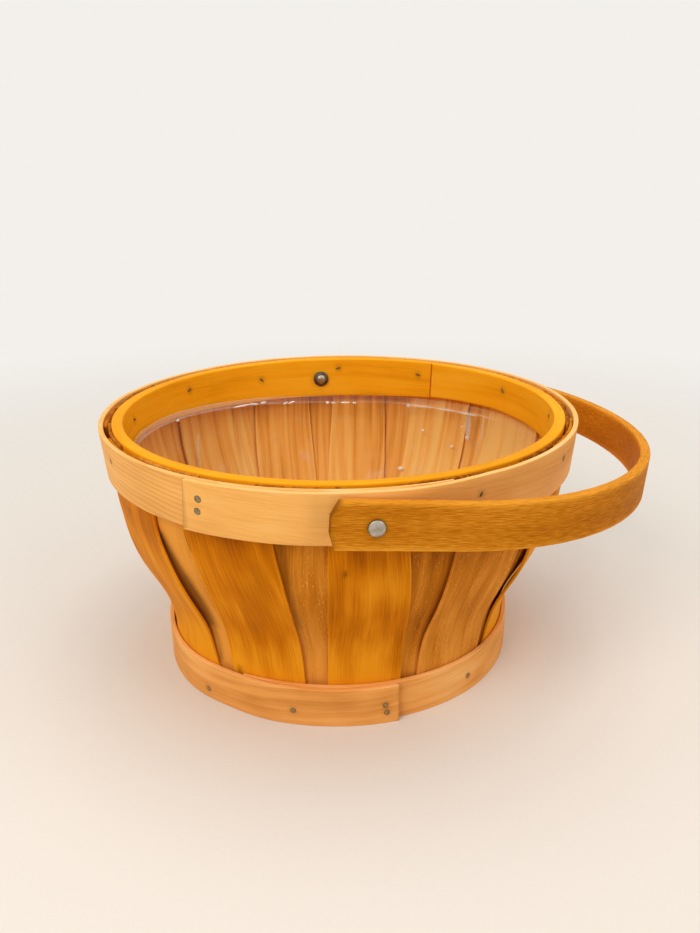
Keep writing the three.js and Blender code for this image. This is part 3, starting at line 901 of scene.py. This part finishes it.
# %% The wall's curve from foot to rim
STAVE_END = 1.2 * MM
FOOT_RISE, SHOULDER_DROP = 28 * MM, 44 * MM
swell = interpolate_bezier(
    Vector((wall_base, base_top)), Vector((wall_base, base_top + FOOT_RISE)),
    Vector((leaning(wall_rim, rim_low - SHOULDER_DROP), rim_low - SHOULDER_DROP)),
    Vector((leaning(wall_rim, rim_low), rim_low)), 60)
foot = [Vector((wall_base, z)) for z in np.linspace(STAVE_END, base_top, 6)]
head = [Vector((leaning(wall_rim, z), z)) for z in np.linspace(rim_low, rim_top - STAVE_END, 7)]
wall = np.array([tuple(p) for p in (*foot[:-1], *swell, *head[1:])])
steps = np.linalg.norm(np.diff(wall, axis=0), axis=1)
stave_length = float(steps.sum())
wall_share = np.concatenate([[0], np.cumsum(steps)]) / stave_length
way = np.gradient(wall, axis=0)
way /= np.linalg.norm(way, axis=1)[:, None]
free_share = np.clip((wall[:, 1] - base_top) / (rim_low - base_top), 0, 1)
wall_free = np.sin(np.pi * free_share) ** 1.3
print(f"a stave is {1000 * stave_length:.0f} mm long")


def on_wall(share, angle, off):
    """Points on the wall's outside at a share of its length, moved off it."""
    out_r, out_z = np.interp(share, wall_share, way[:, 1]), -np.interp(share, wall_share, way[:, 0])
    radius = np.interp(share, wall_share, wall[:, 0]) + out_r * off
    height = np.interp(share, wall_share, wall[:, 1]) + out_z * off
    radius += bulge(angle) * near_foot(height)
    turn = np.radians(angle)
    return np.stack([radius * np.sin(turn), -radius * np.cos(turn), height], 1)


# %% Turn a sheet outwards


def outward_from_axis(piece):
    """Turns a sheet's faces away from the basket's axis, before it gets its thickness."""
    piece.data.update()
    face = piece.data.polygons[len(piece.data.polygons) // 2]
    if face.normal.xy.dot(face.center.xy) < 0:
        with editing(piece):
            bpy.ops.mesh.select_all(action="SELECT")
            bpy.ops.mesh.flip_normals()


# %% One stave
COLUMNS, ROWS = 36, 80
HEIGHTS = np.array((15, 28, 42, 58, 74, 88)) * MM  # where the edges' angles are given
FITTED = (10 * MM, 95 * MM)  # the curves through those angles are good between these heights
RIPPLE, TORN = 0.12, (-0.2, 0.5)  # how uneven the veneer is, and its torn top edge (mm)


def stave(name, edges, depth, curl, dip=0.0, tone=0.0, seed=0):
    """Lays one stave this deep under the wall's outside. Edges are the angles of its left and
    right edge at the six heights. Curl is how far these lift (mm), and dip how far its middle
    sinks in."""
    chance = random.Random(seed)
    bpy.ops.object.select_all(action="DESELECT")
    bpy.ops.mesh.primitive_grid_add(x_subdivisions=COLUMNS, y_subdivisions=ROWS, size=1)
    piece = just_added(name)
    flat = places(piece)
    side, share = 2 * flat[:, 0], flat[:, 1] + 0.5
    side = np.sign(side) * (1 - (1 - np.abs(side)) ** 1.25)
    height = np.clip(np.interp(share, wall_share, wall[:, 1]), *FITTED)
    left, right = (np.polyval(np.polyfit(HEIGHTS, edge, 4), height) for edge in edges)
    angle = (left + right) / 2 + side * (right - left) / 2
    free = np.interp(share, wall_share, wall_free)
    lifted = np.where(side < 0, curl[0], curl[1]) * np.abs(side) ** 2.4
    ripple = RIPPLE * np.sin(7 * share + 3 * side + chance.uniform(0, 6))
    off = free * (lifted + ripple + dip * (side ** 2 - 1)) * MM - depth
    laid = on_wall(share, angle, off)
    torn = np.array([chance.uniform(*TORN) for _ in flat]) * MM
    laid[:, 2] += np.where(share > 0.999, torn, 0)
    half_width = np.radians(right - left) / 2 * np.interp(share, wall_share, wall[:, 0])
    grain = np.stack([share * stave_length + seed * 0.31, 0 * side, side * half_width + seed * 0.07], 1)
    move_to(piece, laid)
    keep_grain(piece, grain)
    # The cut edges are paler. The lower part is painted lighter, as painted light reaching the lower
    # wall, and the part near the rim darker, as painted shade under the hoops.
    edge_tone = 0.25 * np.clip(np.abs(side) - 0.96, 0, 1) / 0.04
    painted_light_and_shade = 0.3 * np.clip((0.42 - share) / 0.3, 0, 1) - 0.15 * np.clip((share - 0.66) / 0.14, 0, 1)
    keep_value(piece, "tone", tone + edge_tone + painted_light_and_shade)
    keep_value(piece, "stain", (share > 0.985) * [chance.uniform(0.05, 0.45) for _ in flat])
    outward_from_axis(piece)
    apply_modifier(piece, "SOLIDIFY", thickness=VENEER, offset=-1, use_rim=True)
    apply_modifier(piece, "BEVEL", width=0.22 * MM, segments=2, limit_method="ANGLE",
                   angle_limit=math.radians(50))
    return piece


# %% [markdown]
# Knots, cracks and the deep shade beside a curled edge are kept in the same attribute as the
# stain. The veneer is thin, so a mark must be told which of its two faces it is on, or it would
# show on the other side too.

# %% Marks on a stave


def mark(piece, marks, depth=0, inside=False):
    """Darkens knots, cracks and shaded strips on one side of a stave. Each mark has the angle
    and height (mm) of both its ends, its width (mm) and its strength."""
    spots, facing = places(piece), np.zeros(3 * len(piece.data.vertices))
    piece.data.vertices.foreach_get("normal", facing)
    outwards = (facing.reshape(-1, 3)[:, :2] * spots[:, :2]).sum(1)
    marked = np.zeros(len(spots))
    piece.data.attributes["stain"].data.foreach_get("value", marked)
    for angle_1, z_1, angle_2, z_2, width, strength in marks:
        ends = np.interp((z_1 * MM, z_2 * MM), wall[:, 1], wall_share)
        start, end = on_wall(ends, np.array((angle_1, angle_2)), -depth)
        run = end - start
        t = np.clip((spots - start) @ run / max(run @ run, 1e-12), 0, 1)
        gap = np.linalg.norm(spots - start - t[:, None] * run, axis=1)
        dark = strength * np.exp(-(gap / (width * MM)) ** 2)
        marked = np.maximum(marked, np.where((outwards < 0) == inside, dark, 0))
    keep_value(piece, "stain", marked)


# %% [markdown]
# Where the edges of the front staves and of those seen inside at the back are was measured in
# the photograph, and so was which of them curl open. The others get small differences of the
# same kind by chance, from a fixed seed, so that every run gives the same basket.

# %% Where the staves' edges are
PITCH = 30.0  # from one stave's middle to the next
MEASURED = {  # number: the left edge's angles from foot to rim, and the right edge's
    1: ((-10.4, -10.1, -9.7, -9.2, -8.9, -8.7), (10.9, 10.9, 10.3, 9.4, 8.6, 7.7)),
    2: ((16.3, 16.8, 17.1, 17.2, 18.2, 19.1), (40.6, 41.2, 38.3, 36.6, 38.6, 40.4)),
    3: ((44.6, 47.2, 47.2, 45.4, 45.6, 47.0), (73.5, 73.2, 72.6, 71.8, 71.3, 71.0)),
    11: ((-72, -72, -71.8, -71.6, -71.4, -71.4), (-44.3, -46.2, -46.9, -46.8, -49.9, -50.6)),
    12: ((-38.8, -39.7, -39.1, -37.8, -39.7, -41.2), (-16.8, -17.2, -17.4, -17.8, -18.8, -19.9)),
}
INNER_MEASURED = {
    4: ((94.5, 95.0, 95.3, 95.5, 95.7, 95.8), (121.5, 121.0, 120.6, 120.2, 119.8, 119.5)),
    5: ((127.0, 127.2, 127.4, 127.7, 128.1, 127.8), (150.6, 150.3, 150.0, 149.7, 149.5, 149.4)),
    6: ((153.8, 154.8, 156.2, 157.2, 158.0, 158.4), (180.2, 179.4, 178.5, 177.5, 176.5, 175.7)),
    7: ((182.8, 183.2, 183.4, 183.6, 183.9, 184.1), (207.6, 206.9, 205.9, 204.6, 203.4, 202.6)),
    8: ((213.5, 213.0, 212.3, 211.3, 210.6, 210.6), (233.2, 233.0, 232.9, 232.7, 232.4, 232.0)),
    9: ((237.6, 238.0, 238.4, 238.8, 239.2, 239.5), (264.0, 263.8, 263.5, 263.3, 263.1, 263.0)),
}

# %% How the staves curl, and their colours and marks
CURLS = {1: (0.9, 0.7), 2: (1.2, 1.7), 3: (1.0, 1.6), 10: (1.2, 2.2), 11: (1.8, 1.7), 12: (0.7, 1.0)}
# Most tones are each stave's own colour. Some are painted light and shade: outer stave 5 and inner
# staves 4, 5 and 11 are painted lighter where they lie in shade, and inner stave 2 darker for the shade
# in the gap over it.
TONES = {1: 0.03, 2: 0.0, 3: 0.35, 5: 0.15, 10: 0.05, 11: 0.16, 12: 0.02}
INNER_TONES = {1: -0.15, 2: -0.25, 4: 0.5, 5: 0.3, 6: 0.08, 7: 0.0, 8: 0.05, 10: 0.1, 11: 0.4, 12: 0.1}
MARKS = {  # number: knots, cracks and spots on the outside
    1: ((-5.3, 76.8, -5.3, 75.6, 0.8, 0.75), (-9.5, 74, -9, 64, 3.5, 0.13)),
    11: ((-63.5, 83.2, -63.5, 82, 0.8, 0.5), (-72, 26, -71, 21, 1.2, 0.5)),
    12: ((-37.3, 18.5, -37.0, 15, 1.3, 0.5), (-41.2, 86, -40.3, 79, 0.8, 0.7),
         (-24, 74, -26, 62, 7, 0.14)),
}
SEEN_INSIDE = range(4, 10)
# Most of these marks are painted shade: dark strips where curled edges and the edges of the staves seen
# inside shade the veneer. Inner stave 12's first mark is a fold in it.
INNER_MARKS = {  # inside on those that are seen inside, and outside on the others
    1: ((10.2, 84, 11.0, 40, 0.9, 0.2), (13.6, 86, 12.6, 20, 0.7, 0.14),
        (16.6, 86, 14.4, 40, 1.6, 0.14)),
    2: ((43.0, 88, 41.8, 60, 2.8, 0.6), (41.8, 60, 44.5, 40, 2.6, 0.6), (44.5, 40, 44.5, 19, 2, 0.5)),
    5: ((127.8, 91, 127.3, 35, 0.8, 0.5),),
    6: ((158.4, 90, 155.4, 35, 0.8, 0.45),),
    8: ((210.6, 90, 212.5, 35, 0.8, 0.5), (232.0, 90, 232.9, 50, 1.2, 0.25)),
    11: ((-50.6, 78, -47.2, 61, 2.7, 0.7), (-47.2, 61, -45.8, 50, 3.0, 0.75),
         (-45.8, 50, -45.9, 36, 2.8, 0.72), (-45.9, 36, -45.0, 19, 1.6, 0.6)),
    12: ((-15.5, 64, -16.7, 20, 0.6, 0.3), (-18.7, 89, -17.6, 70, 1.7, 0.5),
         (-17.6, 70, -16.8, 45, 1.0, 0.4)),
}
TAN_OUTER = (2, 5, 9)  # outer staves of the tan veneer

# %% All the staves
chance = random.Random(11)
OUTER_WIDE, INNER_WIDE = (29.6, 36.2, 36.2), 34  # mm, every third outer stave being narrower


def by_chance(centre, width, play):
    """The edge angles of a stave this wide (mm) round a centre, with a little play (degrees)."""
    half = np.degrees(width / 2 * MM / np.interp(HEIGHTS, wall[:, 1], wall[:, 0]))
    return [centre + chance.uniform(-play, play) + side * half
            + np.array([chance.uniform(-play, play) / 3 for _ in HEIGHTS]) for side in (-1, 1)]


for i in range(12):
    number = i + 1
    edges = by_chance(i * PITCH, OUTER_WIDE[i % 3], 0.8)
    curl = (chance.uniform(0.7, 1.5), chance.uniform(0.7, 1.5))
    tone = chance.uniform(-0.1, 0.1)
    outer = stave(f"outer_veneer_{number}", MEASURED.get(number, edges), 0,
                  CURLS.get(number, curl), tone=TONES.get(number, tone), seed=number)
    mark(outer, MARKS.get(number, ()))
    dress(outer, tan_veneer if number in TAN_OUTER else amber_veneer, "outer_stave_veneer",
          "basket", f"outer_stave_{number}", inside=inside_veneer)
    edges = by_chance((i + 0.5) * PITCH, INNER_WIDE, 0.7)
    inner = stave(f"inner_veneer_{number}", INNER_MEASURED.get(number, edges), LAYER, (0, 0),
                  dip=0.6, seed=20 + number,
                  tone=INNER_TONES.get(number, chance.uniform(-0.1, 0.1)))
    mark(inner, INNER_MARKS.get(number, ()), LAYER, inside=number in SEEN_INSIDE)
    dress(inner, tan_veneer, "inner_stave_veneer", "basket", f"inner_stave_{number}",
          inside=inside_veneer)

# %% [markdown]
# ## Liner
# The liner is a thin cup of clear plastic film, drawn over a form and trimmed by hand, so its
# rim isn't level: it is highest on the left and lowest at the back. A fold runs round a little
# below the rim. It could be extruded from a circle, ring by ring, but it has to follow the wall
# closely, so its outline is taken from the wall's curve and spun. Then it is drawn in a little
# where the rivets are, its rim is moved to its real height, and it gets waves and a thickness.

# %% Spin an outline


def spun(name, outline, steps):
    """Spins an outline of radius and height points about Z."""
    mesh = bpy.data.meshes.new(name)
    mesh.from_pydata([(r, 0, z) for r, z in outline], [(i, i + 1) for i in range(len(outline) - 1)], [])
    piece = bpy.data.objects.new(name, mesh)
    bpy.context.scene.collection.objects.link(piece)
    with editing(piece):
        bpy.ops.mesh.select_all(action="SELECT")
        bpy.ops.mesh.spin(steps=steps, angle=2 * math.pi, center=(0, 0, 0), axis=(0, 0, 1))
    outward(piece)
    return piece


# %% Liner
FILM = 0.45 * MM
FLAT_PART, EASED_PART = 12 * MM, 33 * MM  # to each side of the rivets, where it is drawn in
ROOM, LOOSE = 0.15 * MM, 1.2 * MM  # inside its node's box, and behind the inner staves
liner_low, liner_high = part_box("liner")
widest, narrow = liner_high.x - ROOM, liner_high.y - ROOM
behind = 2 * LAYER - FIT + LOOSE
corner = 6 * MM
foot_radius = wall_base - behind
outline = [(0, liner_low.z), (0.5 * foot_radius, liner_low.z)]
for turn in np.linspace(0, math.pi / 2, 7):
    outline.append((foot_radius - corner * (1 - math.sin(turn)),
                    liner_low.z + corner * (1 - math.cos(turn))))
for (radius, z), (along_r, along_z) in zip(wall[::3], way[::3]):
    height = z + along_r * behind
    if liner_low.z + corner + 2 * MM < height < 95 * MM:
        outline.append((min(radius - along_z * behind, widest), height))
FLANGE, RIM_AS_SPUN = 3.6 * MM, 97 * MM
for below in (FLANGE + 0.9 * MM, FLANGE + 0.3 * MM, FLANGE, FLANGE - 0.3 * MM, FLANGE - 0.9 * MM,
              0.9 * MM, 0.3 * MM, 0):
    outline.append((widest, RIM_AS_SPUN - below))
liner = spun("clear_liner", outline, 120)
cup = places(liner)
reach = np.maximum(np.hypot(cup[:, 0], cup[:, 1]), MM)
past = np.clip((np.abs(cup[:, 0]) - FLAT_PART) / EASED_PART, 0, 1)
drawn = (1 - past * past * (3 - 2 * past)) * np.maximum(0, reach - narrow) / reach
pushed = np.minimum(bulge(angles_of(cup)), 0) * near_foot(cup[:, 2])
cup[:, :2] *= (1 - drawn + pushed / foot_radius)[:, None]

# %% The hand-trimmed rim
TRIMMED = (  # angle, and the height of the film's rim there (mm)
    (-180, 90.6), (-167, 91.4), (-158, 92.2), (-147, 93), (-137, 94.2), (-124, 95.6), (-112, 96.6),
    (-94, 97.5), (-60, 96.5), (0, 94.5), (60, 93.5), (90, 93), (110, 92.5), (121, 92), (134, 91),
    (148, 90.5), (171, 90.3), (180, 90.6))
LOOSE_FROM = 72 * MM


def rim_height(points):
    """How high the film's rim is at each point's angle."""
    return np.interp(angles_of(points), *zip(*TRIMMED)) * MM


stretch = np.clip((cup[:, 2] - LOOSE_FROM) / (RIM_AS_SPUN - FLANGE - MM - LOOSE_FROM), 0, 1)
cup[:, 2] += stretch * (rim_height(cup) - RIM_AS_SPUN)
move_to(liner, cup)
clouds = bpy.data.textures.new("film_waves", "CLOUDS")
clouds.noise_scale = 0.025
apply_modifier(liner, "DISPLACE", texture=clouds, texture_coords="LOCAL", strength=1.4 * MM,
               mid_level=1.0)
apply_modifier(liner, "SOLIDIFY", thickness=FILM, offset=-1, use_rim=True)

# %% How the film's edge shines
SHINE = (  # angle, how hazy the edge above the fold is there, and how much the fold shows
    (-180, 0.12, 0.35), (-155, 0.28, 0.5), (-140, 0.4, 0.6), (-95, 0.4, 0.6), (-60, 0.15, 0.3),
    (60, 0.05, 0.15), (112, 0.02, 0.1), (117, 0.04, 0.6), (148, 0.06, 0.6), (156, 0.08, 0.3),
    (180, 0.12, 0.35))
cup = places(liner)
turned, hazes, shows = zip(*SHINE)
angles = angles_of(cup)
below = rim_height(cup) - cup[:, 2]
# Bright lines along the fold and the cut rim: painted glints. Above the fold the film is hazy.
glint_lines = np.exp(-((below - FLANGE) / (0.3 * MM)) ** 2) + 0.4 * np.exp(-(below / (0.3 * MM)) ** 2)
keep_value(liner, "haze_and_glint", (below < FLANGE) * np.interp(angles, turned, hazes)
           + glint_lines * np.interp(angles, turned, shows))

# %% [markdown]
# The film itself is nearly invisible. What the eye gets is the glints on its waves, a haze where
# it was stretched, and white lines along its fold and its cut rim, which are painted glints, so
# these drive how clear it is.

# %% Clear film


def clear_film(name, whiteness):
    """Thin clear film. Face on it hardly shows; it turns white where it is hazy and where glints are
    painted on its fold, its cut rim and its puckers.
    """
    material, tree = new_material(name)
    where = add_node(tree, "ShaderNodeTexCoord").outputs["Object"]
    haze_and_glint = add_node(tree, "ShaderNodeAttribute", attribute_name="haze_and_glint").outputs["Fac"]
    facing = add_node(tree, "ShaderNodeLayerWeight", {"Blend": 0.3}).outputs["Facing"]
    hazy = streaks(tree, where, 12, 9, 3.0, 0.6, 0.75)
    alpha = weigh(tree, (facing, 0.05), (hazy, 0.06), (haze_and_glint, whiteness), start=0.008)
    ripples = streaks(tree, where, 11, 11, 2.0)
    waves = add_node(tree, "ShaderNodeBump", {
        "Height": ripples, "Strength": 0.4, "Distance": 0.6 * MM})
    tone = add_node(tree, "ShaderNodeMix", {
        "Factor": haze_and_glint, "A": linear("#F4EEE8"), "B": linear("#FFFFFF")},
        data_type="RGBA").outputs["Result"]
    surface(tree, {"Base Color": tone, "Roughness": 0.06, "IOR": 1.55,
                   "Specular IOR Level": 1.0, "Alpha": alpha, "Normal": waves.outputs["Normal"]})
    return material


# Clear sheet is nearly invisible but for its glints.
film = clear_film("drawn_clear_film", 0.36)
dress(liner, film, "clear_plastic", "liner", "liner")

# %% [markdown]
# The film puckered where it was drawn and trimmed, mostly under the hoop at the back. Each pucker is
# a tiny fold, made as one small ball pressed to the fold's length and width and set on the film,
# which is found by looking out from the axis. Being modelled, a pucker stands up from any side;
# its whiteness is a painted glint, the highlight it would catch.

# %% Folds in the film
GLINT_FOLDS = (  # angle, height, length, width and turn (mm and degrees), whiteness
    (-150.5, 89.4, 5.5, 0.5, 0, 1.0), (-155.0, 89.2, 3.2, 0.6, -8, 0.8),
    (-158.6, 89.3, 1.8, 0.7, 0, 0.9), (-166.6, 87.8, 1.4, 0.6, 20, 0.8),
    (-168.8, 88.0, 2.2, 0.5, 12, 0.9), (178.0, 86.6, 0.9, 0.7, 0, 1.0),
    (175.9, 86.4, 1.3, 0.6, 0, 0.7), (171.6, 86.5, 2.8, 0.45, 0, 1.0),
    (168.2, 86.3, 1.1, 0.6, 0, 0.8), (148.6, 85.9, 1.2, 0.9, 0, 0.6),
    (143.0, 72.5, 0.8, 0.7, 0, 0.9), (127.2, 79.4, 0.6, 0.6, 0, 0.7),
    (131.2, 66.7, 0.9, 0.7, 0, 0.9), (149.8, 50.5, 1.6, 1.1, 20, 1.0),
    (-122.6, 91.6, 1.4, 0.7, 0, 0.9), (-131.2, 71.0, 10.0, 0.8, 86, 0.35),
    (124.6, 80.5, 7.5, 1.8, 88, 0.3), (118.0, 81.5, 8.0, 0.4, 84, 0.5),
    (124.9, 74.0, 1.3, 1.1, 0, 0.8), (143.6, 86.4, 7.2, 0.4, 2, 0.55),
    (134.0, 86.8, 7.2, 0.4, 2, 0.6), (125.2, 87.3, 7.0, 0.5, 3, 0.6),
    (60.0, 70.0, 6.0, 0.5, 80, 0.4), (-40.0, 60.0, 7.0, 0.6, 95, 0.4), (15, 66, 1.4, 1.0, 0, 0.9),
)


def onto_film(angle, height):
    """The point where the film is, seen from the axis."""
    start = Vector((0, 0, height * MM))
    hit, point, _, _ = liner.ray_cast(start, at(1, angle, 0))
    return point if hit else at(widest, angle, height * MM)


def bead(name):
    """A small flattened ball, 1 mm in radius and half as high to each side."""
    turns = np.linspace(-math.pi / 2, math.pi / 2, 7)
    return spun(name, [(abs(math.cos(t)) * MM if abs(t) < 1.5 else 0, 0.5 * math.sin(t) * MM)
                       for t in turns], 14)


def set_on(pattern, name, point, angle, lean, inside=False, twist=0.0, size=(1, 1, 1)):
    """Copies a pattern onto a surface, its top pointing away from it."""
    turn = math.radians(angle)
    facing = -1 if inside else 1
    normal = facing * Vector((math.sin(turn), -math.cos(turn), -lean)).normalized()
    along = facing * Vector((math.cos(turn), math.sin(turn), 0))
    piece = pattern.copy()
    piece.data = pattern.data.copy()
    piece.name = piece.data.name = name
    bpy.context.scene.collection.objects.link(piece)
    axes = Matrix((along, normal.cross(along), normal)).transposed().to_4x4()
    piece.matrix_world = (Matrix.Translation(point) @ axes
                          @ Matrix.Rotation(math.radians(twist), 4, "Z")
                          @ Matrix.Diagonal((*size, 1)))
    choose(piece)
    bpy.ops.object.transform_apply(location=True, rotation=True, scale=True)
    return piece


# This film turns nearly white on the puckers: painted glints.
glint_film = clear_film("painted_glint_film", 0.9)
pucker = bead("pucker")
for i, (angle, height, length, width, twist, white) in enumerate(GLINT_FOLDS):
    fold = set_on(pucker, f"film_fold_{i + 1}", onto_film(angle, height), angle, 0, inside=True,
                  twist=twist, size=(length, width, 0.5))
    keep_value(fold, "haze_and_glint", white)
    dress(fold, glint_film, "clear_plastic", "liner")
bpy.data.objects.remove(pucker)

# %% [markdown]
# ## Rivets, washers and nails
# The handle's rivets are nickel plated steel with a low round head outside. Inside the rim each
# one is closed on a dished washer, which has gone dull. The nails are small and dark with age.
# All of them are turned or stamped round, so an outline that is spun gives each in one closed
# body, and what repeats is copied onto the wood, each copy with a mesh of its own.

# %% Metals


def worn_metal(name, colour, dark, roughness, wear_mm, metallic=1.0):
    """A plated metal with cloudy wear and fine scratches, and dirt along its edge."""
    material, tree = new_material(name)
    where = add_node(tree, "ShaderNodeTexCoord").outputs["Object"]
    wear = streaks(tree, where, wear_mm, wear_mm, 4.0, 0.4, 0.7)
    scratches = streaks(tree, where, 3, 0.12, 2.0)
    worn = add_node(tree, "ShaderNodeMix", {
        "Factor": wear, "A": linear(colour), "B": linear(dark)},
        data_type="RGBA").outputs["Result"]
    edge = add_node(tree, "ShaderNodeAttribute", attribute_name="edge").outputs["Fac"]
    tone = add_node(tree, "ShaderNodeMix", {
        "Factor": edge, "A": worn, "B": linear("#2B2016")}, data_type="RGBA").outputs["Result"]
    rough = weigh(tree, (wear, 0.18), (scratches, 0.12), (edge, 0.3), start=roughness - 0.1)
    bump = add_node(tree, "ShaderNodeBump", {
        "Height": scratches, "Strength": 0.25, "Distance": 0.05 * MM})
    surface(tree, {"Base Color": tone, "Metallic": metallic, "Roughness": rough,
                   "Normal": bump.outputs["Normal"]})
    return material


def dirty_edge(piece, inner, outer):
    """Marks a piece that was spun about Z as dirty from one radius (0) out to another (1)."""
    radius = np.hypot(*places(piece)[:, :2].T)
    keep_value(piece, "edge", np.clip((radius - inner) / (outer - inner), 0, 1))


# Nickel plate is a warm grey that mirrors the room softly.
nickel = worn_metal("nickel_plated_steel", "#BDB4A6", "#948A7B", 0.34, 2.5)
# The washers have lost their shine, and dirt darkens them.
dull_steel = worn_metal("dull_plated_steel", "#7C7468", "#4C453B", 0.45, 1.5)
# Bare steel nails turn to a dull greenish brown in varnish.
nail_steel = worn_metal("browned_nail_steel", "#A08E66", "#6A573A", 0.55, 0.8, metallic=0.5)
# Those in the foot are browner still, nearly the colour of the wood round them.
foot_nail_steel = worn_metal("wood_stained_nail_steel", "#AE8450", "#7A5630", 0.6, 0.8, metallic=0.3)
# The points that were hammered over have stained dark and don't shine.
point_steel = worn_metal("stained_nail_point", "#7A5A2C", "#4A3216", 0.75, 0.8, metallic=0.0)

# %% Rivets and washers


def dome(radius, low, high, points=7):
    """The outline of a dome from its edge up to its top on the axis."""
    turns = np.linspace(0, math.pi / 2, points)
    return [(radius * math.cos(t) if t < 1.5 else 0, low + (high - low) * math.sin(t)) for t in turns]


def stand_on_pivot(piece, side):
    """Turns a piece's top outwards along the pivot line, at the front (-1) or the back (1)."""
    piece.rotation_euler[0] = -side * math.pi / 2
    piece.location.z = pivot_z
    choose(piece)
    bpy.ops.object.transform_apply(location=True, rotation=True, scale=True)


SHANK, HEAD, PEEN = 1.6 * MM, 3.1 * MM, 2.4 * MM
for place, side, seat in (("front", -1, front_seat), ("back", 1, back_seat)):
    low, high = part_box(f"{place}_rivet")
    tip = min(abs(low.y), abs(high.y))
    under = seat + HANDLE_THICK + FIT
    outline = [(0, tip)] + [
        (r, 2 * tip + 0.9 * MM - z) for r, z in dome(PEEN, tip, tip + 0.9 * MM)][::-1][1:]
    outline += [(SHANK, tip + 0.9 * MM), (SHANK, under), (HEAD - 0.2 * MM, under)]
    outline += [(HEAD, under + 0.2 * MM), *dome(HEAD, under + 0.4 * MM, under + 1.3 * MM, 10)]
    rivet = spun(f"{place}_domed_rivet", outline, 40)
    dirty_edge(rivet, HEAD - 0.25 * MM, HEAD)
    stand_on_pivot(rivet, side)
    dress(rivet, nickel, "rivet_steel", "basket", f"{place}_rivet")
    low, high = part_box(f"{place}_washer")
    inner, outer = sorted((abs(low.y), abs(high.y)))
    hole, wide = SHANK + FIT, 4.15 * MM
    outline = [(hole, inner), (wide - 0.3 * MM, outer - 0.75 * MM), (wide, outer - 0.45 * MM),
               (wide, outer), (hole, inner + 0.7 * MM), (hole, inner)]
    washer = spun(f"{place}_dished_washer", outline, 40)
    dirty_edge(washer, wide - 0.5 * MM, wide)
    stand_on_pivot(washer, side)
    dress(washer, dull_steel, "washer_steel", "basket", f"{place}_washer")

# %% Nails and clinched points
NAIL = 1.4 * MM
nail = spun("nail", [(0, -1.2 * MM), (0.5 * MM, -1.2 * MM), (0.5 * MM, -0.1 * MM),
                     (NAIL, -0.1 * MM), (NAIL, 0.04 * MM),
                     *dome(NAIL - 0.15 * MM, 0.08 * MM, 0.24 * MM, 4)], 22)
dirty_edge(nail, NAIL - 0.2 * MM, NAIL - 0.05 * MM)
point = bead("point")
FASTENERS = (  # name, pattern, steel, places, how they are found, lean, inside, size, twists
    ("rim_nail", nail, nail_steel, RIM_NAILS, rim_spot, RIM_SLOPE, False, (1, 1, 1), (0,)),
    ("foot_nail", nail, foot_nail_steel, FOOT_NAILS, foot_spot, 0, False, (0.85, 0.85, 1), (0,)),
    ("rim_point", point, point_steel, RIM_POINTS, rim_spot, RIM_SLOPE, False, (1.2, 0.5, 0.4),
     range(60, 210, 25)),
    ("clinched_point", point, point_steel, CLINCHES, inner_spot, RIM_SLOPE, True,
     (1.5, 0.55, 0.45), (15, -15, -45)),
)
for name, pattern, steel, spots, spot_on, lean, inside, size, twists in FASTENERS:
    for i, (angle, z) in enumerate(spots):
        piece = set_on(pattern, f"{name}_{i + 1}", spot_on(angle, z), angle, lean, inside=inside,
                       twist=twists[i % len(twists)], size=size)
        dress(piece, steel, "rivet_steel", "basket")
for pattern in (nail, point):
    bpy.data.objects.remove(pattern)

# %% [markdown]
# ## Base board
# The board inside the foot is plain sanded wood. A cylinder with bevelled edges would be the same
# shape, but spinning an outline gives the broken edges at once. Then each point is moved out by
# the foot's bulge, so that the board still reaches the staves.

# %% Base board
low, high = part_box("base_board")
board_radius, break_edge = high.x, 0.8 * MM
board = spun("round_base_board", [
    (0, low.z), (board_radius - break_edge, low.z), (board_radius, low.z + break_edge),
    (board_radius, high.z - break_edge), (board_radius - break_edge, high.z), (0, high.z)], 120)
shape = places(board)
out = bulge(angles_of(shape)) / board_radius
shape[:, :2] *= 1 + out[:, None]
move_to(board, shape)
keep_grain(board, order=(0, 2, 1))
dress(board, board_wood, "board_wood", "basket", "base_board")

# %% [markdown]
# ## Sizes and finish
# The finished basket must fill the same box as the frame it was built on, so both boxes are
# written out and can be compared.

# %% Sizes and finish
new_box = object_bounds()
for name, box in (("CAD", cad_box), ("visual", new_box)):
    print(name, [round(1000 * v, 1) for corner in box for v in corner])
